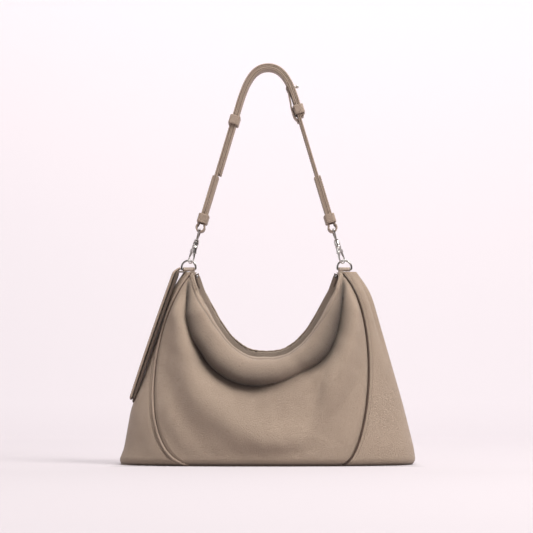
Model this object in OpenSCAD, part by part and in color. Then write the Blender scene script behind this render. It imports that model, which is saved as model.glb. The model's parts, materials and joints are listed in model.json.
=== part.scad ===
// Slouched leather hobo bag with a clip-on shoulder strap.
// Millimetres, +Z up. The origin is on the floor under the middle of the bag,
// +X runs to the bag's right as its front is seen, and the front faces -Y.

/* [Body] */
// Half the width of the bag near its base
base_half_w = 195; // [170:1:215]
// Half the depth of the bag at its base
base_half_d = 64; // [55:1:75]
// Half the depth of the bag at its two top corners
apex_half_d = 16; // [15:0.5:20]
// Height of the two top corners
apex_z = 248; // [235:1:260]
// How much each side comes in for every millimetre of height
side_slope = 0.28; // [0.24:0.01:0.31]
// How far each shoulder rounds in at the top
shoulder_in = 9; // [5:1:12]
// Radius of the edge between the walls and the base
edge_r = 10; // [6:1:12]
// How far the left gusset folds in behind the zip tail
left_tuck = 9.5; // [9:0.5:12]
// Thickness of the outer leather
leather_t = 2; // [1.6:0.1:2.2]
// Radius of the piping in the four long seams
piping_r = 1.5; // [1.2:0.1:1.8]

/* [Mouth] */
// Height of the lowest point of the front rim
front_rim_z = 134; // [125:1:150]
// Height of the lowest point of the back rim
back_rim_z = 144; // [125:1:155]
// Half the width of the front rim at the top corners
front_rim_x = 98; // [94:0.5:99]
// Half the width of the back rim at the top corners
back_rim_x = 91; // [89:0.5:94]
// Half the gap between the two rims at the middle
mouth_half_gap = 18; // [12:1:24]

/* [Rings] */
// Distance of each ring's middle from the middle of the bag
ring_x = 101.5; // [100:0.5:103]
// Height of the bar that each ring swings on
ring_bar_z = 252; // [251:0.5:253]
// Height of the middle of each ring's round part
ring_arc_z = 254.5; // [253.5:0.5:256]
// Radius of each ring's round part, to the middle of the wire
ring_r = 9.2; // [8.5:0.1:10]
// Radius of the ring wire
ring_wire_r = 1.25; // [1.15:0.05:1.3]

/* [Strap] */
// Lean of each strap leg from upright, in degrees
strap_lean = 16.5; // [15:0.5:18]
// Width of the strap
strap_w = 20; // [18:1:22]
// Thickness of each of the two straps
strap_t = 4; // [3.6:0.1:4]
// Length of each straight leg, from the ring to where the arch begins
leg_len = 214; // [205:1:225]
// Height of the middle of the strap at the top of its arch
strap_top_z = 518.7; // [510:1:530]

/* [Zip tail] */
// Length of the zip tail
tail_len = 176; // [150:1:180]
// Width of the zip tail
tail_w = 26; // [22:1:28]
// Lean of the zip tail from upright, in degrees
tail_lean = 18.66; // [18.5:0.02:19]

/* [Hidden] */

leather = [0.60, 0.52, 0.46];
leather_dark = [0.48, 0.41, 0.35];
cloth = [0.74, 0.67, 0.58];
metal = [0.72, 0.71, 0.69];

// Body cross-section and walls
section_n = 2.3;
shoulder_z = 205;
taper = 1.5;
tuck_from_z = 58;
tuck_over = 60;
pinch = 4.5;
pinch_from_z = 222;
foot_z = 1.5;
foot_x = 95;
belly_x = [171, 129];
belly_z = 6;
shoulder_x = [152, 154];
shoulder_seam_z = 192;
seam_gap = 0.8;
rim_power = [2.65, 2.44];
rim_spread = 80;
lip_start = 0.72;
step = 0.002;

// Layers behind the outer leather, as distances from the outer face
facing_layer = [-2.5, -4];
lining_layer = [-2.7, -3.4];
tape_layer = [-4.6, -5.4];
coil_depth = 6.8;
coil_r = 1;
facing_from = 0.76;
facing_steps = 4;
tape_steps = 2;
lining_from = 0.08;
lining_to = 0.75;

// Places across a panel where the facing is bent; the zip tape leaves out the end ones
facing_us = spread(-0.96, 0.96, 24);
tape_us = [for (i = [1 : len(facing_us) - 2]) facing_us[i]];
facing_vs = spread(facing_from, 1, facing_steps);
tape_vs = [for (i = [0 : tape_steps]) facing_vs[i]];

board_t = 2;
board_z = 2.4;
board_inset = 10;
base_inset = 6.8;

// Hook, along its own axis from the middle of the ring wire
hook_twist = 34;
hook_t = 3.4;
hook_body_s = 10.2;
jaw_s = 2.7;
jaw_in = 5.2;
jaw_out = 6.8;
jaw_t = 2.2;
jaw_bevel = 0.9;
knuckle_r = 3.6;
knuckle_s = [17.5, 27];
knuckle_hollow_s = [19.5, 22.9];
knuckle_hollow_r = 2.5;
post_s = [21, 28.6];
post_r = 1.6;
head_s = 20.2;
head_r = 2.2;
collar_s = 27.4;
collar_r = 3;
fit = 0.05;
gate_pivot = [3.1, 14.2];
pin_r = 0.8;
slot_half = 1;
gate_t = 1.2;
eye_bar_r = 1.2;
eye_bar_s = 42.1;
eye_bend_s = 36.2;
eye_half_w = 11.5;
eye_leg_w = 2.4;
eye_t = 2.8;

// Strap, along a leg from the middle of the ring wire
loop_s = 45;
loop_in = 4.2;
loop_t = 2;
loop_top_s = 115;
strap_end_s = 56;
inner_end_s = 117.5;
outer_end_s = 197;
pair_gap = 0.1;
pair_shift = strap_t / 2 + pair_gap;
keeper_gap = 0.35;
keeper_t = 2.5;
keeper_h = 12;
lower_keeper_s = 57;
left_keeper_s = 193;
right_keeper_s = 206.5;
stud_t = 0.27;
stud_hole_r = 1.65;
arch_pull = 31;
arch_crown = 20;

tail_root = [-117.8, apex_z];
ply_t = 3;
ply_gap = 1.2;
slider_len = 11;
slider_low = -148;

function clamp01(x) = min(1, max(0, x));
function smooth(x) = let (c = clamp01(x)) c * c * (3 - 2 * c);
function mix(a, b, t) = a + (b - a) * t;
function unit(v) = v / norm(v);
function spread(from, to, n) = [for (i = [0 : n]) mix(from, to, i / n)];
function bezier(a, b, c, d, t) =
    pow(1 - t, 3) * a + 3 * t * pow(1 - t, 2) * b + 3 * t * t * (1 - t) * c + pow(t, 3) * d;

// ---- The shape of the bag ----

function edge_in(z) = z < edge_r ? edge_r - sqrt(pow(edge_r, 2) - pow(edge_r - z, 2)) : 0;
function tuck(z) = left_tuck * smooth((z - tuck_from_z) / tuck_over);
function half_w(z, side) =
    base_half_w - side_slope * z - edge_in(z) - (side < 0 ? tuck(z) : 0)
    - shoulder_in * pow(max(0, (z - shoulder_z) / (apex_z - shoulder_z)), 2);
function half_d(z) =
    apex_half_d + (base_half_d - apex_half_d) * (1 - pow(z / apex_z, taper)) - edge_in(z)
    - pinch * smooth((z - pinch_from_z) / (apex_z - pinch_from_z));
function depth_at(x, z) =
    half_d(z) * pow(max(0, 1 - pow(abs(x) / half_w(z, x), section_n)), 1 / section_n);

// The long seam between a panel and a gusset, from the base to a top corner.
// It bows out further on the left (side below 0) than on the right.
function seam(v, top_x, side) =
    let (i = side < 0 ? 0 : 1)
    bezier(
        [foot_x, foot_z], [belly_x[i], belly_z],
        [shoulder_x[i], shoulder_seam_z], [top_x, apex_z], v
    );
function rise(v) = (seam(v, 0, 0)[1] - foot_z) / (apex_z - foot_z);

// A point on the front (face -1) or back (face 1) panel: u across, v up
function panel_point(face, u, v) =
    let (
        rim_x = face < 0 ? front_rim_x : back_rim_x,
        rim_z = face < 0 ? front_rim_z : back_rim_z,
        h = rise(v),
        t = sin(rim_spread * u) / sin(rim_spread),
        x = u * (seam(v, rim_x, u)[0] - seam_gap) + h * rim_x * (t - u),
        z = foot_z + h * (mix(rim_z, apex_z, pow(abs(t), rim_power[face < 0 ? 0 : 1])) - foot_z),
        lip = clamp01((h - lip_start) / (1 - lip_start)),
        roll = (1 - pow(abs(u), 4)) * (1 - sqrt(1 - lip * lip)),
        y = mix(depth_at(x, z), mouth_half_gap, roll)
    ) [x, face * y, z];

// A point on the left (side -1) or right (side 1) gusset: u from front to back, v up
function gusset_point(side, u, v) =
    let (
        z = seam(v, 0, side)[1],
        w = half_w(z, side),
        front_a = acos(pow((seam(v, front_rim_x, side)[0] + seam_gap) / w, section_n / 2)),
        back_a = acos(pow((seam(v, back_rim_x, side)[0] + seam_gap) / w, section_n / 2)),
        a = mix(front_a, -back_a, u),
        d = half_d(z) * pow(abs(sin(a)), 2 / section_n)
    ) [side * w * pow(cos(a), 2 / section_n), -sign(a) * d, z];

function normal_at(skin, u, v, low, high) =
    let (
        u0 = max(low[0], u - step),
        u1 = min(high[0], u + step),
        v0 = max(low[1], v - step),
        v1 = min(high[1], v + step)
    ) unit(cross(skin(u1, v) - skin(u0, v), skin(u, v1) - skin(u, v0)));

// Corner numbers of a sheet's faces: an outer and an inner grid and the four edges
function sheet_quads(nu, nv) =
    let (
        row = nu + 1,
        lay = row * (nv + 1),
        o = function (i, j) j * row + i,
        n = function (i, j) lay + j * row + i
    ) [
        for (j = [0 : nv - 1]) for (i = [0 : nu - 1]) each [
            [o(i, j), o(i, j + 1), o(i + 1, j + 1), o(i + 1, j)],
            [n(i, j), n(i + 1, j), n(i + 1, j + 1), n(i, j + 1)]
        ],
        for (i = [0 : nu - 1]) each [
            [o(i, 0), o(i + 1, 0), n(i + 1, 0), n(i, 0)],
            [o(i + 1, nv), o(i, nv), n(i, nv), n(i + 1, nv)]
        ],
        for (j = [0 : nv - 1]) each [
            [o(0, j + 1), o(0, j), n(0, j), n(0, j + 1)],
            [o(nu, j), o(nu, j + 1), n(nu, j + 1), n(nu, j)]
        ]
    ];
function triangles(quads, flip) = [
    for (q = quads) each flip
        ? [[q[2], q[1], q[0]], [q[3], q[2], q[0]]]
        : [[q[0], q[1], q[2]], [q[0], q[2], q[3]]]
];

// A sheet of leather or cloth: the part of a skin between two distances from it
module sheet(skin, us, vs, layer, low, flip) {
    way = flip ? -1 : 1;
    grid = function (d) [
        for (v = vs) for (u = us) skin(u, v) + way * d * normal_at(skin, u, v, low, [1, 1])
    ];
    polyhedron(
        concat(grid(layer[0]), grid(layer[1])),
        triangles(sheet_quads(len(us) - 1, len(vs) - 1), flip)
    );
}

module panel_sheet(face, us, vs, layer) {
    sheet(function (u, v) panel_point(face, u, v), us, vs, layer, [-1, 0], face > 0);
}

module gusset_sheet(side, us, vs, layer) {
    sheet(function (u, v) gusset_point(side, u, v), us, vs, layer, [0, 0], side < 0);
}

// A round cord of the given radius along a list of points
module cord_along(points, radius, sides) {
    last = len(points) - 1;
    rings = [
        for (i = [0 : last])
            let (
                along = unit(points[min(last, i + 1)] - points[max(0, i - 1)]),
                across = unit(cross(along, [0, 1, 0])),
                up = cross(across, along)
            )
            for (k = [0 : sides - 1])
                points[i] + radius * (cos(360 * k / sides) * across + sin(360 * k / sides) * up)
    ];
    quads = [
        for (i = [0 : last - 1]) for (k = [0 : sides - 1])
            let (m = (k + 1) % sides)
            [i * sides + k, i * sides + m, (i + 1) * sides + m, (i + 1) * sides + k]
    ];
    caps = [
        [for (k = [sides - 1 : -1 : 0]) k],
        [for (k = [0 : sides - 1]) last * sides + k]
    ];
    polyhedron(rings, concat(triangles(quads, false), caps));
}

function base_outline(inset) = [
    for (a = [0 : 4 : 356])
        [
            (base_half_w - inset) * sign(cos(a)) * pow(abs(cos(a)), 2 / section_n),
            (base_half_d - inset) * sign(sin(a)) * pow(abs(sin(a)), 2 / section_n)
        ]
];

// ---- The bag ----

module base_plate(inset, z, thickness) {
    translate([0, 0, z]) linear_extrude(thickness) polygon(base_outline(inset));
}

module base_panel() {
    color(leather_dark) base_plate(base_inset, 0, leather_t);
}

module base_board() {
    color(cloth) base_plate(board_inset, board_z, board_t);
}

module lining_base() {
    color(cloth) base_plate(board_inset, board_z + board_t + 0.4, 0.8);
}

module outer_panel(face) {
    color(leather)
        panel_sheet(face, spread(-1, 1, 30), spread(0, 1, 22), [0, -leather_t]);
}

module gusset(side) {
    color(leather)
        gusset_sheet(side, spread(0, 1, 14), spread(0, 1, 22), [0, -leather_t]);
}

module facing(face) {
    color(leather_dark)
        panel_sheet(face, facing_us, facing_vs, facing_layer);
}

module panel_lining(face) {
    color(cloth)
        panel_sheet(face, spread(-0.98, 0.98, 20), spread(lining_from, lining_to, 9), lining_layer);
}

module gusset_lining(side) {
    color(cloth)
        gusset_sheet(side, spread(0.03, 0.97, 8), spread(lining_from, 0.88, 12), lining_layer);
}

module zip_tape(face) {
    color(cloth)
        panel_sheet(face, tape_us, tape_vs, tape_layer);
}

module zip_coil(face) {
    skin = function (u, v) panel_point(face, u, v);
    v = tape_vs[1];
    points = [
        for (u = tape_us)
            skin(u, v) + face * coil_depth * normal_at(skin, u, v, [-1, 0], [1, 1])
    ];
    color(metal) cord_along(points, coil_r, 6);
}

module piping(side, face) {
    rim_x = face < 0 ? front_rim_x : back_rim_x;
    points = [
        for (v = spread(0.03, 0.99, 26))
            let (s = seam(v, rim_x, side))
            [side * s[0], face * depth_at(side * s[0], s[1]), s[1]]
    ];
    color(leather) cord_along(points, piping_r, 6);
}

// ---- Rings and their leather tabs ----

// The left half is drawn as it lies; the right half is its mirror image
module on_side(side) {
    if (side < 0) children();
    else mirror([1, 0, 0]) children();
}

module ring(side) {
    color(metal) on_side(side) translate([-ring_x, 0, 0]) {
        translate([0, 0, ring_arc_z]) rotate([90, 0, 0])
            rotate_extrude(angle = 180, $fn = 48) translate([ring_r, 0]) circle(ring_wire_r, $fn = 24);
        for (x = [-ring_r, ring_r]) {
            translate([x, 0, ring_bar_z]) cylinder(ring_arc_z - ring_bar_z, r = ring_wire_r, $fn = 24);
            translate([x, 0, ring_bar_z]) sphere(ring_wire_r, $fn = 24);
        }
        translate([-ring_r, 0, ring_bar_z]) rotate([0, 90, 0])
            cylinder(2 * ring_r, r = ring_wire_r, $fn = 24);
    }
}

// The tab's stem lies a little nearer the middle than the ring, where the corner is deeper
stem_w = 6;
stem_x = ring_x - 5;
stem_len = 22;
head_w = 14.5;
head_drop = 1.5;
tab_in = ring_wire_r + 0.3;
tab_t = 1.4;
stem_thin = 0.1;

// A wide fold over the ring's bar, and a narrower stem down each of its sides
module ring_tab(side) {
    stem_top = head_drop / 2;
    color(leather_dark) on_side(side) translate([0, 0, ring_bar_z]) {
        translate([-ring_x - head_w / 2, 0, 0]) rotate([90, 0, 90]) linear_extrude(head_w) {
            difference() {
                circle(tab_in + tab_t, $fn = 32);
                circle(tab_in, $fn = 32);
                translate([-2 * tab_in, -4 * tab_in]) square(4 * tab_in);
            }
            for (y = [-tab_in - tab_t, tab_in]) translate([y, -head_drop]) square([tab_t, head_drop]);
        }
        for (y = [-tab_in - tab_t + stem_thin, tab_in + stem_thin])
            translate([-stem_x - stem_w / 2, y, -stem_len])
                cube([stem_w, tab_t - 2 * stem_thin, stem_len - stem_top]);
    }
}

rivet_at = [-90.6, 243.5];
rivet_r = 1.3;
rivet_neck_r = 0.85;
rivet_flange_r = 1.6;
rivet_len = 4.6;

// A rivet through the back wall's top corner, its small head inside
module rivet(side) {
    depth = depth_at(rivet_at[0], rivet_at[1]);
    color(metal) on_side(side) translate([rivet_at[0], depth, rivet_at[1]]) rotate([90, 0, 0]) {
        translate([0, 0, -0.9]) cylinder(0.8, r = rivet_flange_r, $fn = 24);
        translate([0, 0, -0.2]) cylinder(rivet_len, r = rivet_neck_r, $fn = 24);
        translate([0, 0, rivet_len - 0.3]) cylinder(0.9, r = rivet_r, $fn = 24);
    }
}

// ---- Zip tail ----

module on_tail() {
    translate([tail_root[0], 0, tail_root[1]]) rotate([0, tail_lean, 0]) children();
}

// One leather ply of the tail, hanging from its root, with a slanted tip
module tail_ply(from, to) {
    slant = 0.55;
    on_tail() rotate([90, 0, 0]) translate([0, 0, -tail_w / 2]) linear_extrude(tail_w)
        polygon([
            [from, 0], [from, -tail_len - slant * from],
            [to, -tail_len - slant * to], [to, 0]
        ]);
}

module tail_outer_ply() {
    color(leather) tail_ply(-ply_gap / 2 - ply_t, -ply_gap / 2);
}

module tail_inner_ply() {
    color(leather_dark) tail_ply(ply_gap / 2, ply_gap / 2 + ply_t);
}

tail_coil_y = tail_w / 2 + 2.6;
tail_coil_r = 1.2;

module tail_zip() {
    color(cloth) on_tail() {
        translate([-0.45, -8, -tail_len + 3]) cube([0.9, 8 + tail_coil_y, tail_len - 4]);
        translate([0, tail_coil_y, -tail_len + 3]) cylinder(tail_len - 4, r = tail_coil_r, $fn = 24);
    }
}

slider_y = [tail_w / 2 + 0.5, tail_w / 2 + 6.4];
bail_y = slider_y[1];
bail_r = 4;
bail_hang = 50;
bail_wire_r = 0.6;

module zip_slider() {
    color(metal) on_tail() translate([0, 0, slider_low]) {
        difference() {
            translate([-4, slider_y[0], 0]) cube([8, slider_y[1] - slider_y[0], slider_len]);
            translate([0, tail_coil_y, -1]) cylinder(slider_len + 2, r = tail_coil_r + 0.3, $fn = 24);
            translate([-0.8, slider_y[0] - 1, -1])
                cube([1.6, tail_coil_y - slider_y[0] + 1, slider_len + 2]);
        }
        translate([0, bail_y, slider_len / 2]) rotate([0, 90, 0])
            rotate_extrude(angle = 180, $fn = 32) translate([bail_r, 0]) circle(bail_wire_r, $fn = 16);
    }
}

pull_hole_r = 1.55;
pull_eye_r = 2.3;
pull_neck = 4;
pull_len = 26;
pull_w = 7.4;
pull_t = 1;

// Where the pull's own hole hangs on the lower half of the slider's bail
pull_at = [bail_y + bail_r * cos(bail_hang), slider_low + slider_len / 2 - bail_r * sin(bail_hang)];

module zip_pull() {
    color(metal) on_tail() translate([0, pull_at[0], pull_at[1]]) rotate([90, 0, 0])
        translate([0, 0, -pull_t / 2]) linear_extrude(pull_t) difference() {
            union() {
                circle(pull_eye_r, $fn = 32);
                polygon([
                    [-pull_eye_r, 0], [-pull_w / 2, -pull_neck], [-pull_w / 2, -pull_len],
                    [pull_w / 2, -pull_len], [pull_w / 2, -pull_neck], [pull_eye_r, 0]
                ]);
                translate([0, -pull_len]) circle(pull_w / 2, $fn = 32);
            }
            circle(pull_hole_r, $fn = 32);
        }
}

// The end of the zip, where it leaves the mouth over the left gusset
module zip_tongue() {
    color(cloth) translate([-113.8, -7, apex_z + 0.4]) cube([9.8, 14, 1.2]);
}

// ---- Hooks ----

// Where each hook rests on its ring: the strap pulls it to this side of the ring
ring_touch = [
    -ring_x + ring_r * sin(strap_lean),
    ring_arc_z + ring_r * cos(strap_lean)
];

module on_leg(side) {
    on_side(side) translate([ring_touch[0], 0, ring_touch[1]]) rotate([0, strap_lean, 0]) children();
}

// Turns a flat outline (across, along) so that it stands in the plane of the hook's jaw
module jaw_plane(thickness) {
    rotate([90, 0, 90 + hook_twist]) translate([0, 0, -thickness / 2]) linear_extrude(thickness)
        children();
}

// The way into the jaw, which the gate closes
module jaw_mouth() {
    polygon([[-1.4, jaw_s], [-1.4, 10], [1.6, 12], [8, 11], [8, 4.7], [2, 4.3]]);
}

module jaw_outline() {
    difference() {
        union() {
            translate([0, jaw_s]) circle(jaw_out, $fn = 64);
            polygon([[-6.6, jaw_s + 1], [-3.1, 18], [3.3, 18], [5.5, 11], [5, 8], [0, 10]]);
        }
        jaw_mouth();
    }
}

// The thick shank between the jaw and the knuckle
module shank_outline() {
    difference() {
        polygon([[-5.2, hook_body_s], [-3.3, 18.4], [3.5, 18.4], [5.7, 11], [5.6, hook_body_s]]);
        jaw_mouth();
    }
}

// The round hole for the ring, opened out at both faces of the jaw
module jaw_hole() {
    jaw_plane(2 * hook_t) translate([0, jaw_s]) circle(jaw_in, $fn = 48);
    for (face = [-1, 1])
        rotate([90, 0, 90 + hook_twist]) translate([0, jaw_s, face * (jaw_t / 2 - jaw_bevel)])
            rotate([face > 0 ? 0 : 180, 0, 0])
                cylinder(2 * jaw_bevel, jaw_in, jaw_in + 2 * jaw_bevel, $fn = 48);
}

module hook(side) {
    color(metal) on_leg(side) difference() {
        union() {
            jaw_plane(jaw_t) jaw_outline();
            jaw_plane(hook_t) shank_outline();
            translate([0, 0, knuckle_s[0]])
                cylinder(knuckle_s[1] - knuckle_s[0], r = knuckle_r, $fn = 40);
        }
        jaw_hole();
        translate([0, 0, knuckle_hollow_s[0]])
            cylinder(knuckle_hollow_s[1] - knuckle_hollow_s[0], r = knuckle_hollow_r, $fn = 32);
        translate([0, 0, knuckle_hollow_s[1] - 1]) cylinder(6, r = post_r + fit, $fn = 32);
        jaw_plane(2 * slot_half) polygon([[0.9, 9], [0.9, 16.6], [7, 16.6], [7, 9]]);
        jaw_plane(2 * hook_t) translate(gate_pivot) circle(pin_r + fit, $fn = 24);
    }
}

module gate(side) {
    lever = [[6.2, 11], [7.4, 11.8], [7.4, 12.8], [4.2, 15.6]];
    color(metal) on_leg(side) jaw_plane(gate_t) difference() {
        polygon(concat([[4.9, 5.2], [6.6, 5.2]], lever, [[2, 15.4], [1.6, 13]]));
        translate(gate_pivot) circle(pin_r + fit, $fn = 24);
    }
}

module gate_pin(side) {
    color(metal) on_leg(side) jaw_plane(hook_t) translate(gate_pivot) circle(pin_r, $fn = 24);
}

// The end coil of the gate's spring, on the pin beside the gate
module gate_spring(side) {
    color(metal) on_leg(side) rotate([90, 0, 90 + hook_twist])
        translate([gate_pivot[0], gate_pivot[1], gate_t / 2 + 0.05]) linear_extrude(0.3)
            difference() {
                circle(1.5, $fn = 24);
                circle(pin_r + 2 * fit, $fn = 24);
            }
}

// A cast yoke with a round bar for the strap, on a post that turns in the knuckle
module swivel_eye(side) {
    outer_w = eye_half_w + eye_leg_w / 2;
    inner_w = eye_half_w - eye_leg_w / 2;
    top_s = eye_bar_s + eye_t / 2;
    color(metal) on_leg(side) {
        translate([0, 0, head_s]) cylinder(1.2, r = head_r, $fn = 32);
        translate([0, 0, post_s[0]]) cylinder(post_s[1] - post_s[0], r = post_r, $fn = 32);
        translate([0, 0, collar_s]) cylinder(1.6, r = collar_r, $fn = 32);
        rotate([90, 0, 90]) translate([0, 0, -eye_t / 2]) linear_extrude(eye_t) difference() {
            polygon([
                [-2, collar_s + 0.8], [2, collar_s + 0.8], [outer_w, eye_bend_s],
                [outer_w, top_s], [-outer_w, top_s], [-outer_w, eye_bend_s]
            ]);
            polygon([
                [0, collar_s + 3.6], [inner_w, eye_bend_s + 0.9],
                [inner_w, top_s + 1], [-inner_w, top_s + 1], [-inner_w, eye_bend_s + 0.9]
            ]);
        }
        translate([0, -eye_half_w, eye_bar_s]) rotate([-90, 0, 0])
            cylinder(2 * eye_half_w, r = eye_bar_r, $fn = 24);
    }
}

// ---- Strap ----

// A point of the straight left leg, and of the arch over to the top
function leg_point(s) = ring_touch + s * [sin(strap_lean), cos(strap_lean)];
function arch_point(t) =
    let (start = leg_point(leg_len))
    bezier(
        start, start + arch_pull * [sin(strap_lean), cos(strap_lean)],
        [-arch_crown, strap_top_z], [0, strap_top_z], t
    );
function flip_x(points) = [for (i = [len(points) - 1 : -1 : 0]) [-points[i][0], points[i][1]]];
function shifted(points, dx) = [for (p = points) p + [dx, 0]];

arch_half = [for (t = spread(0, 1, 12)) arch_point(t)];
arch_line = concat(arch_half, flip_x([for (t = spread(0, 11 / 12, 11)) arch_point(t)]));

// The middle line between the two straps, from one leg over the arch to the other.
// The arch is shifted so that each strap meets its own end loop squarely.
function strap_line(left_s, right_s) =
    shifted(
        concat([leg_point(left_s)], arch_line, flip_x([leg_point(right_s)])),
        pair_shift / cos(strap_lean)
    );

// The outline of a band that follows a line, between two distances to its left
function side_way(line, i) =
    let (
        last = len(line) - 1,
        along = unit(line[min(last, i + 1)] - line[max(0, i - 1)])
    ) [-along[1], along[0]];
function band(line, low, high) = concat(
    [for (i = [0 : len(line) - 1]) line[i] + high * side_way(line, i)],
    [for (i = [len(line) - 1 : -1 : 0]) line[i] + low * side_way(line, i)]
);

// Stands a flat (x, z) outline across the strap's width
module across_strap(width) {
    rotate([90, 0, 0]) translate([0, 0, -width / 2]) linear_extrude(width) children();
}

// Puts the stud's axis, +Z, through both straps from the inside outwards
module at_stud() {
    here = arch_point(stud_t);
    along = unit(arch_point(stud_t + step) - here);
    translate([pair_shift / cos(strap_lean) - here[0], 0, here[1]])
        rotate([0, atan2(along[1], along[0]), 0]) children();
}

module strap(left_s, right_s, low, high) {
    color(leather) difference() {
        across_strap(strap_w) polygon(band(strap_line(left_s, right_s), low, high));
        at_stud() translate([0, 0, -10]) cylinder(20, r = stud_hole_r, $fn = 24);
    }
}

module outer_strap() {
    strap(strap_end_s, outer_end_s, pair_gap, pair_gap + strap_t);
}

module inner_strap() {
    strap(inner_end_s, strap_end_s, -pair_gap - strap_t, -pair_gap);
}

stud_neck_r = 1.5;
screw_head_r = 3;
ball_r = 2.4;

module strap_stud() {
    outside = pair_gap + strap_t + 0.2;
    ball_z = outside + 3.8;
    color(metal) at_stud() rotate_extrude($fn = 32) polygon(concat(
        [
            [0, 0.3], [stud_neck_r, 0.3], [stud_neck_r, outside], [2.8, outside],
            [2.8, outside + 0.7], [stud_neck_r, outside + 0.7]
        ],
        [for (a = [-50 : 14 : 90]) [ball_r * cos(a), ball_z + ball_r * sin(a)]]
    ));
}

// The screw holds both straps and the end of the keeper's tab
module stud_screw() {
    inside = -tab_rest - tab_thick - 0.3;
    color(metal) at_stud() {
        translate([0, 0, inside - 0.8]) cylinder(0.8, r = screw_head_r, $fn = 32);
        translate([0, 0, inside - 0.2]) cylinder(0.2 - inside, r = stud_neck_r, $fn = 32);
    }
}

// A leather loop folded round the swivel eye, with both ends up the leg
function loop_half(radius, side_x) = concat(
    [[side_x, loop_top_s], [side_x, lower_keeper_s + 4], [side_x, lower_keeper_s - 2]],
    [for (a = [40 : -10 : -90]) [radius * cos(a), loop_s + radius * sin(a)]]
);

module end_loop(side) {
    outer_half = loop_half(loop_in + loop_t, strap_t / 2 + pair_gap + loop_t);
    inner_half = loop_half(loop_in, strap_t / 2 + pair_gap);
    outline = concat(outer_half, flip_x(outer_half));
    hollow = concat(inner_half, flip_x(inner_half));
    color(leather_dark) on_leg(side) across_strap(strap_w) difference() {
        polygon(outline);
        polygon(hollow);
    }
}

// A rectangle of the given half sizes with round corners
module rounded(half, r) {
    square([2 * half[0], 2 * (half[1] - r)], center = true);
    square([2 * (half[0] - r), 2 * half[1]], center = true);
    for (x = [-1, 1]) for (y = [-1, 1])
        translate([x * (half[0] - r), y * (half[1] - r)]) circle(r, $fn = 24);
}

// A flat ring of leather round straps of the given thickness
module keeper_ring(thick) {
    gap = [thick / 2 + keeper_gap, strap_w / 2 + keeper_gap];
    linear_extrude(keeper_h) difference() {
        rounded([gap[0] + keeper_t, gap[1] + keeper_t], 2.4);
        rounded(gap, 0.8);
    }
}

pair_t = 2 * (strap_t + pair_gap);

module lower_keeper(side) {
    color(leather) on_leg(side) translate([0, 0, lower_keeper_s - keeper_h / 2])
        keeper_ring(2 * (strap_t / 2 + pair_gap + loop_t));
}

module upper_keeper(side, s) {
    color(leather) on_leg(side) translate([-side * pair_shift, 0, s - keeper_h / 2])
        keeper_ring(pair_t);
}

// A strip on the inner face of the straps that bows round the right upper keeper,
// drawn for a left leg and mirrored
tab_thick = 1.8;
tab_rest = pair_t / 2 + 0.2;
tab_bow = pair_t / 2 + keeper_gap + keeper_t + 0.4;
tab_low_s = right_keeper_s - keeper_h / 2;
tab_high_s = right_keeper_s + keeper_h / 2;
tab_route = [
    [tab_low_s - 10, tab_rest], [tab_low_s - 6, tab_rest + 0.6], [tab_low_s - 1, tab_bow],
    [tab_high_s + 1, tab_bow], [tab_high_s + 4, tab_bow - 0.6]
];
inward = [cos(strap_lean), -sin(strap_lean)];
tab_line = concat(
    [for (p = tab_route) leg_point(p[0]) + (p[1] - pair_shift) * inward],
    [
        for (i = [2 : 4])
            shifted([arch_half[i]], -pair_shift / cos(strap_lean))[0]
            - (tab_rest + (i == 2 ? 1 : 0)) * side_way(arch_half, i)
    ]
);

module keeper_tab() {
    color(leather_dark) difference() {
        on_side(1) across_strap(strap_w - 4) polygon(band(tab_line, -tab_thick, 0));
        at_stud() translate([0, 0, -10]) cylinder(10, r = stud_hole_r, $fn = 24);
    }
}

base_panel();
base_board();
outer_panel(-1);  // front_panel
outer_panel(1);  // back_panel
gusset(-1);  // left_gusset
gusset(1);  // right_gusset
piping(-1, -1);  // front_left_piping
piping(1, -1);  // front_right_piping
piping(-1, 1);  // back_left_piping
piping(1, 1);  // back_right_piping
facing(-1);  // front_facing
facing(1);  // back_facing
panel_lining(-1);  // lining_front
panel_lining(1);  // lining_back
gusset_lining(-1);  // lining_left
gusset_lining(1);  // lining_right
lining_base();
zip_tape(-1);  // zip_tape_front
zip_tape(1);  // zip_tape_back
zip_coil(-1);  // zip_coil_front
zip_coil(1);  // zip_coil_back
zip_tongue();
tail_outer_ply();
tail_inner_ply();
tail_zip();
zip_slider();
zip_pull();
ring_tab(-1);  // left_ring_tab
ring_tab(1);  // right_ring_tab
rivet(-1);  // left_rivet
rivet(1);  // right_rivet
ring(-1);  // left_ring
ring(1);  // right_ring
hook(-1);  // left_hook
hook(1);  // right_hook
gate(-1);  // left_gate
gate(1);  // right_gate
gate_pin(-1);  // left_gate_pin
gate_pin(1);  // right_gate_pin
gate_spring(-1);  // left_gate_spring
gate_spring(1);  // right_gate_spring
swivel_eye(-1);  // left_swivel_eye
swivel_eye(1);  // right_swivel_eye
end_loop(-1);  // left_end_loop
end_loop(1);  // right_end_loop
outer_strap();
inner_strap();
lower_keeper(-1);  // left_lower_keeper
lower_keeper(1);  // right_lower_keeper
upper_keeper(-1, left_keeper_s);  // left_upper_keeper
upper_keeper(1, right_keeper_s);  // right_upper_keeper
keeper_tab();
strap_stud();
stud_screw();
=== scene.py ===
"""The looks of the slouched leather hobo bag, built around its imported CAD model.

Shapes are worked out in millimetres in the CAD frame, and put_mesh turns them into metres.
"""

import json
import math

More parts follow.
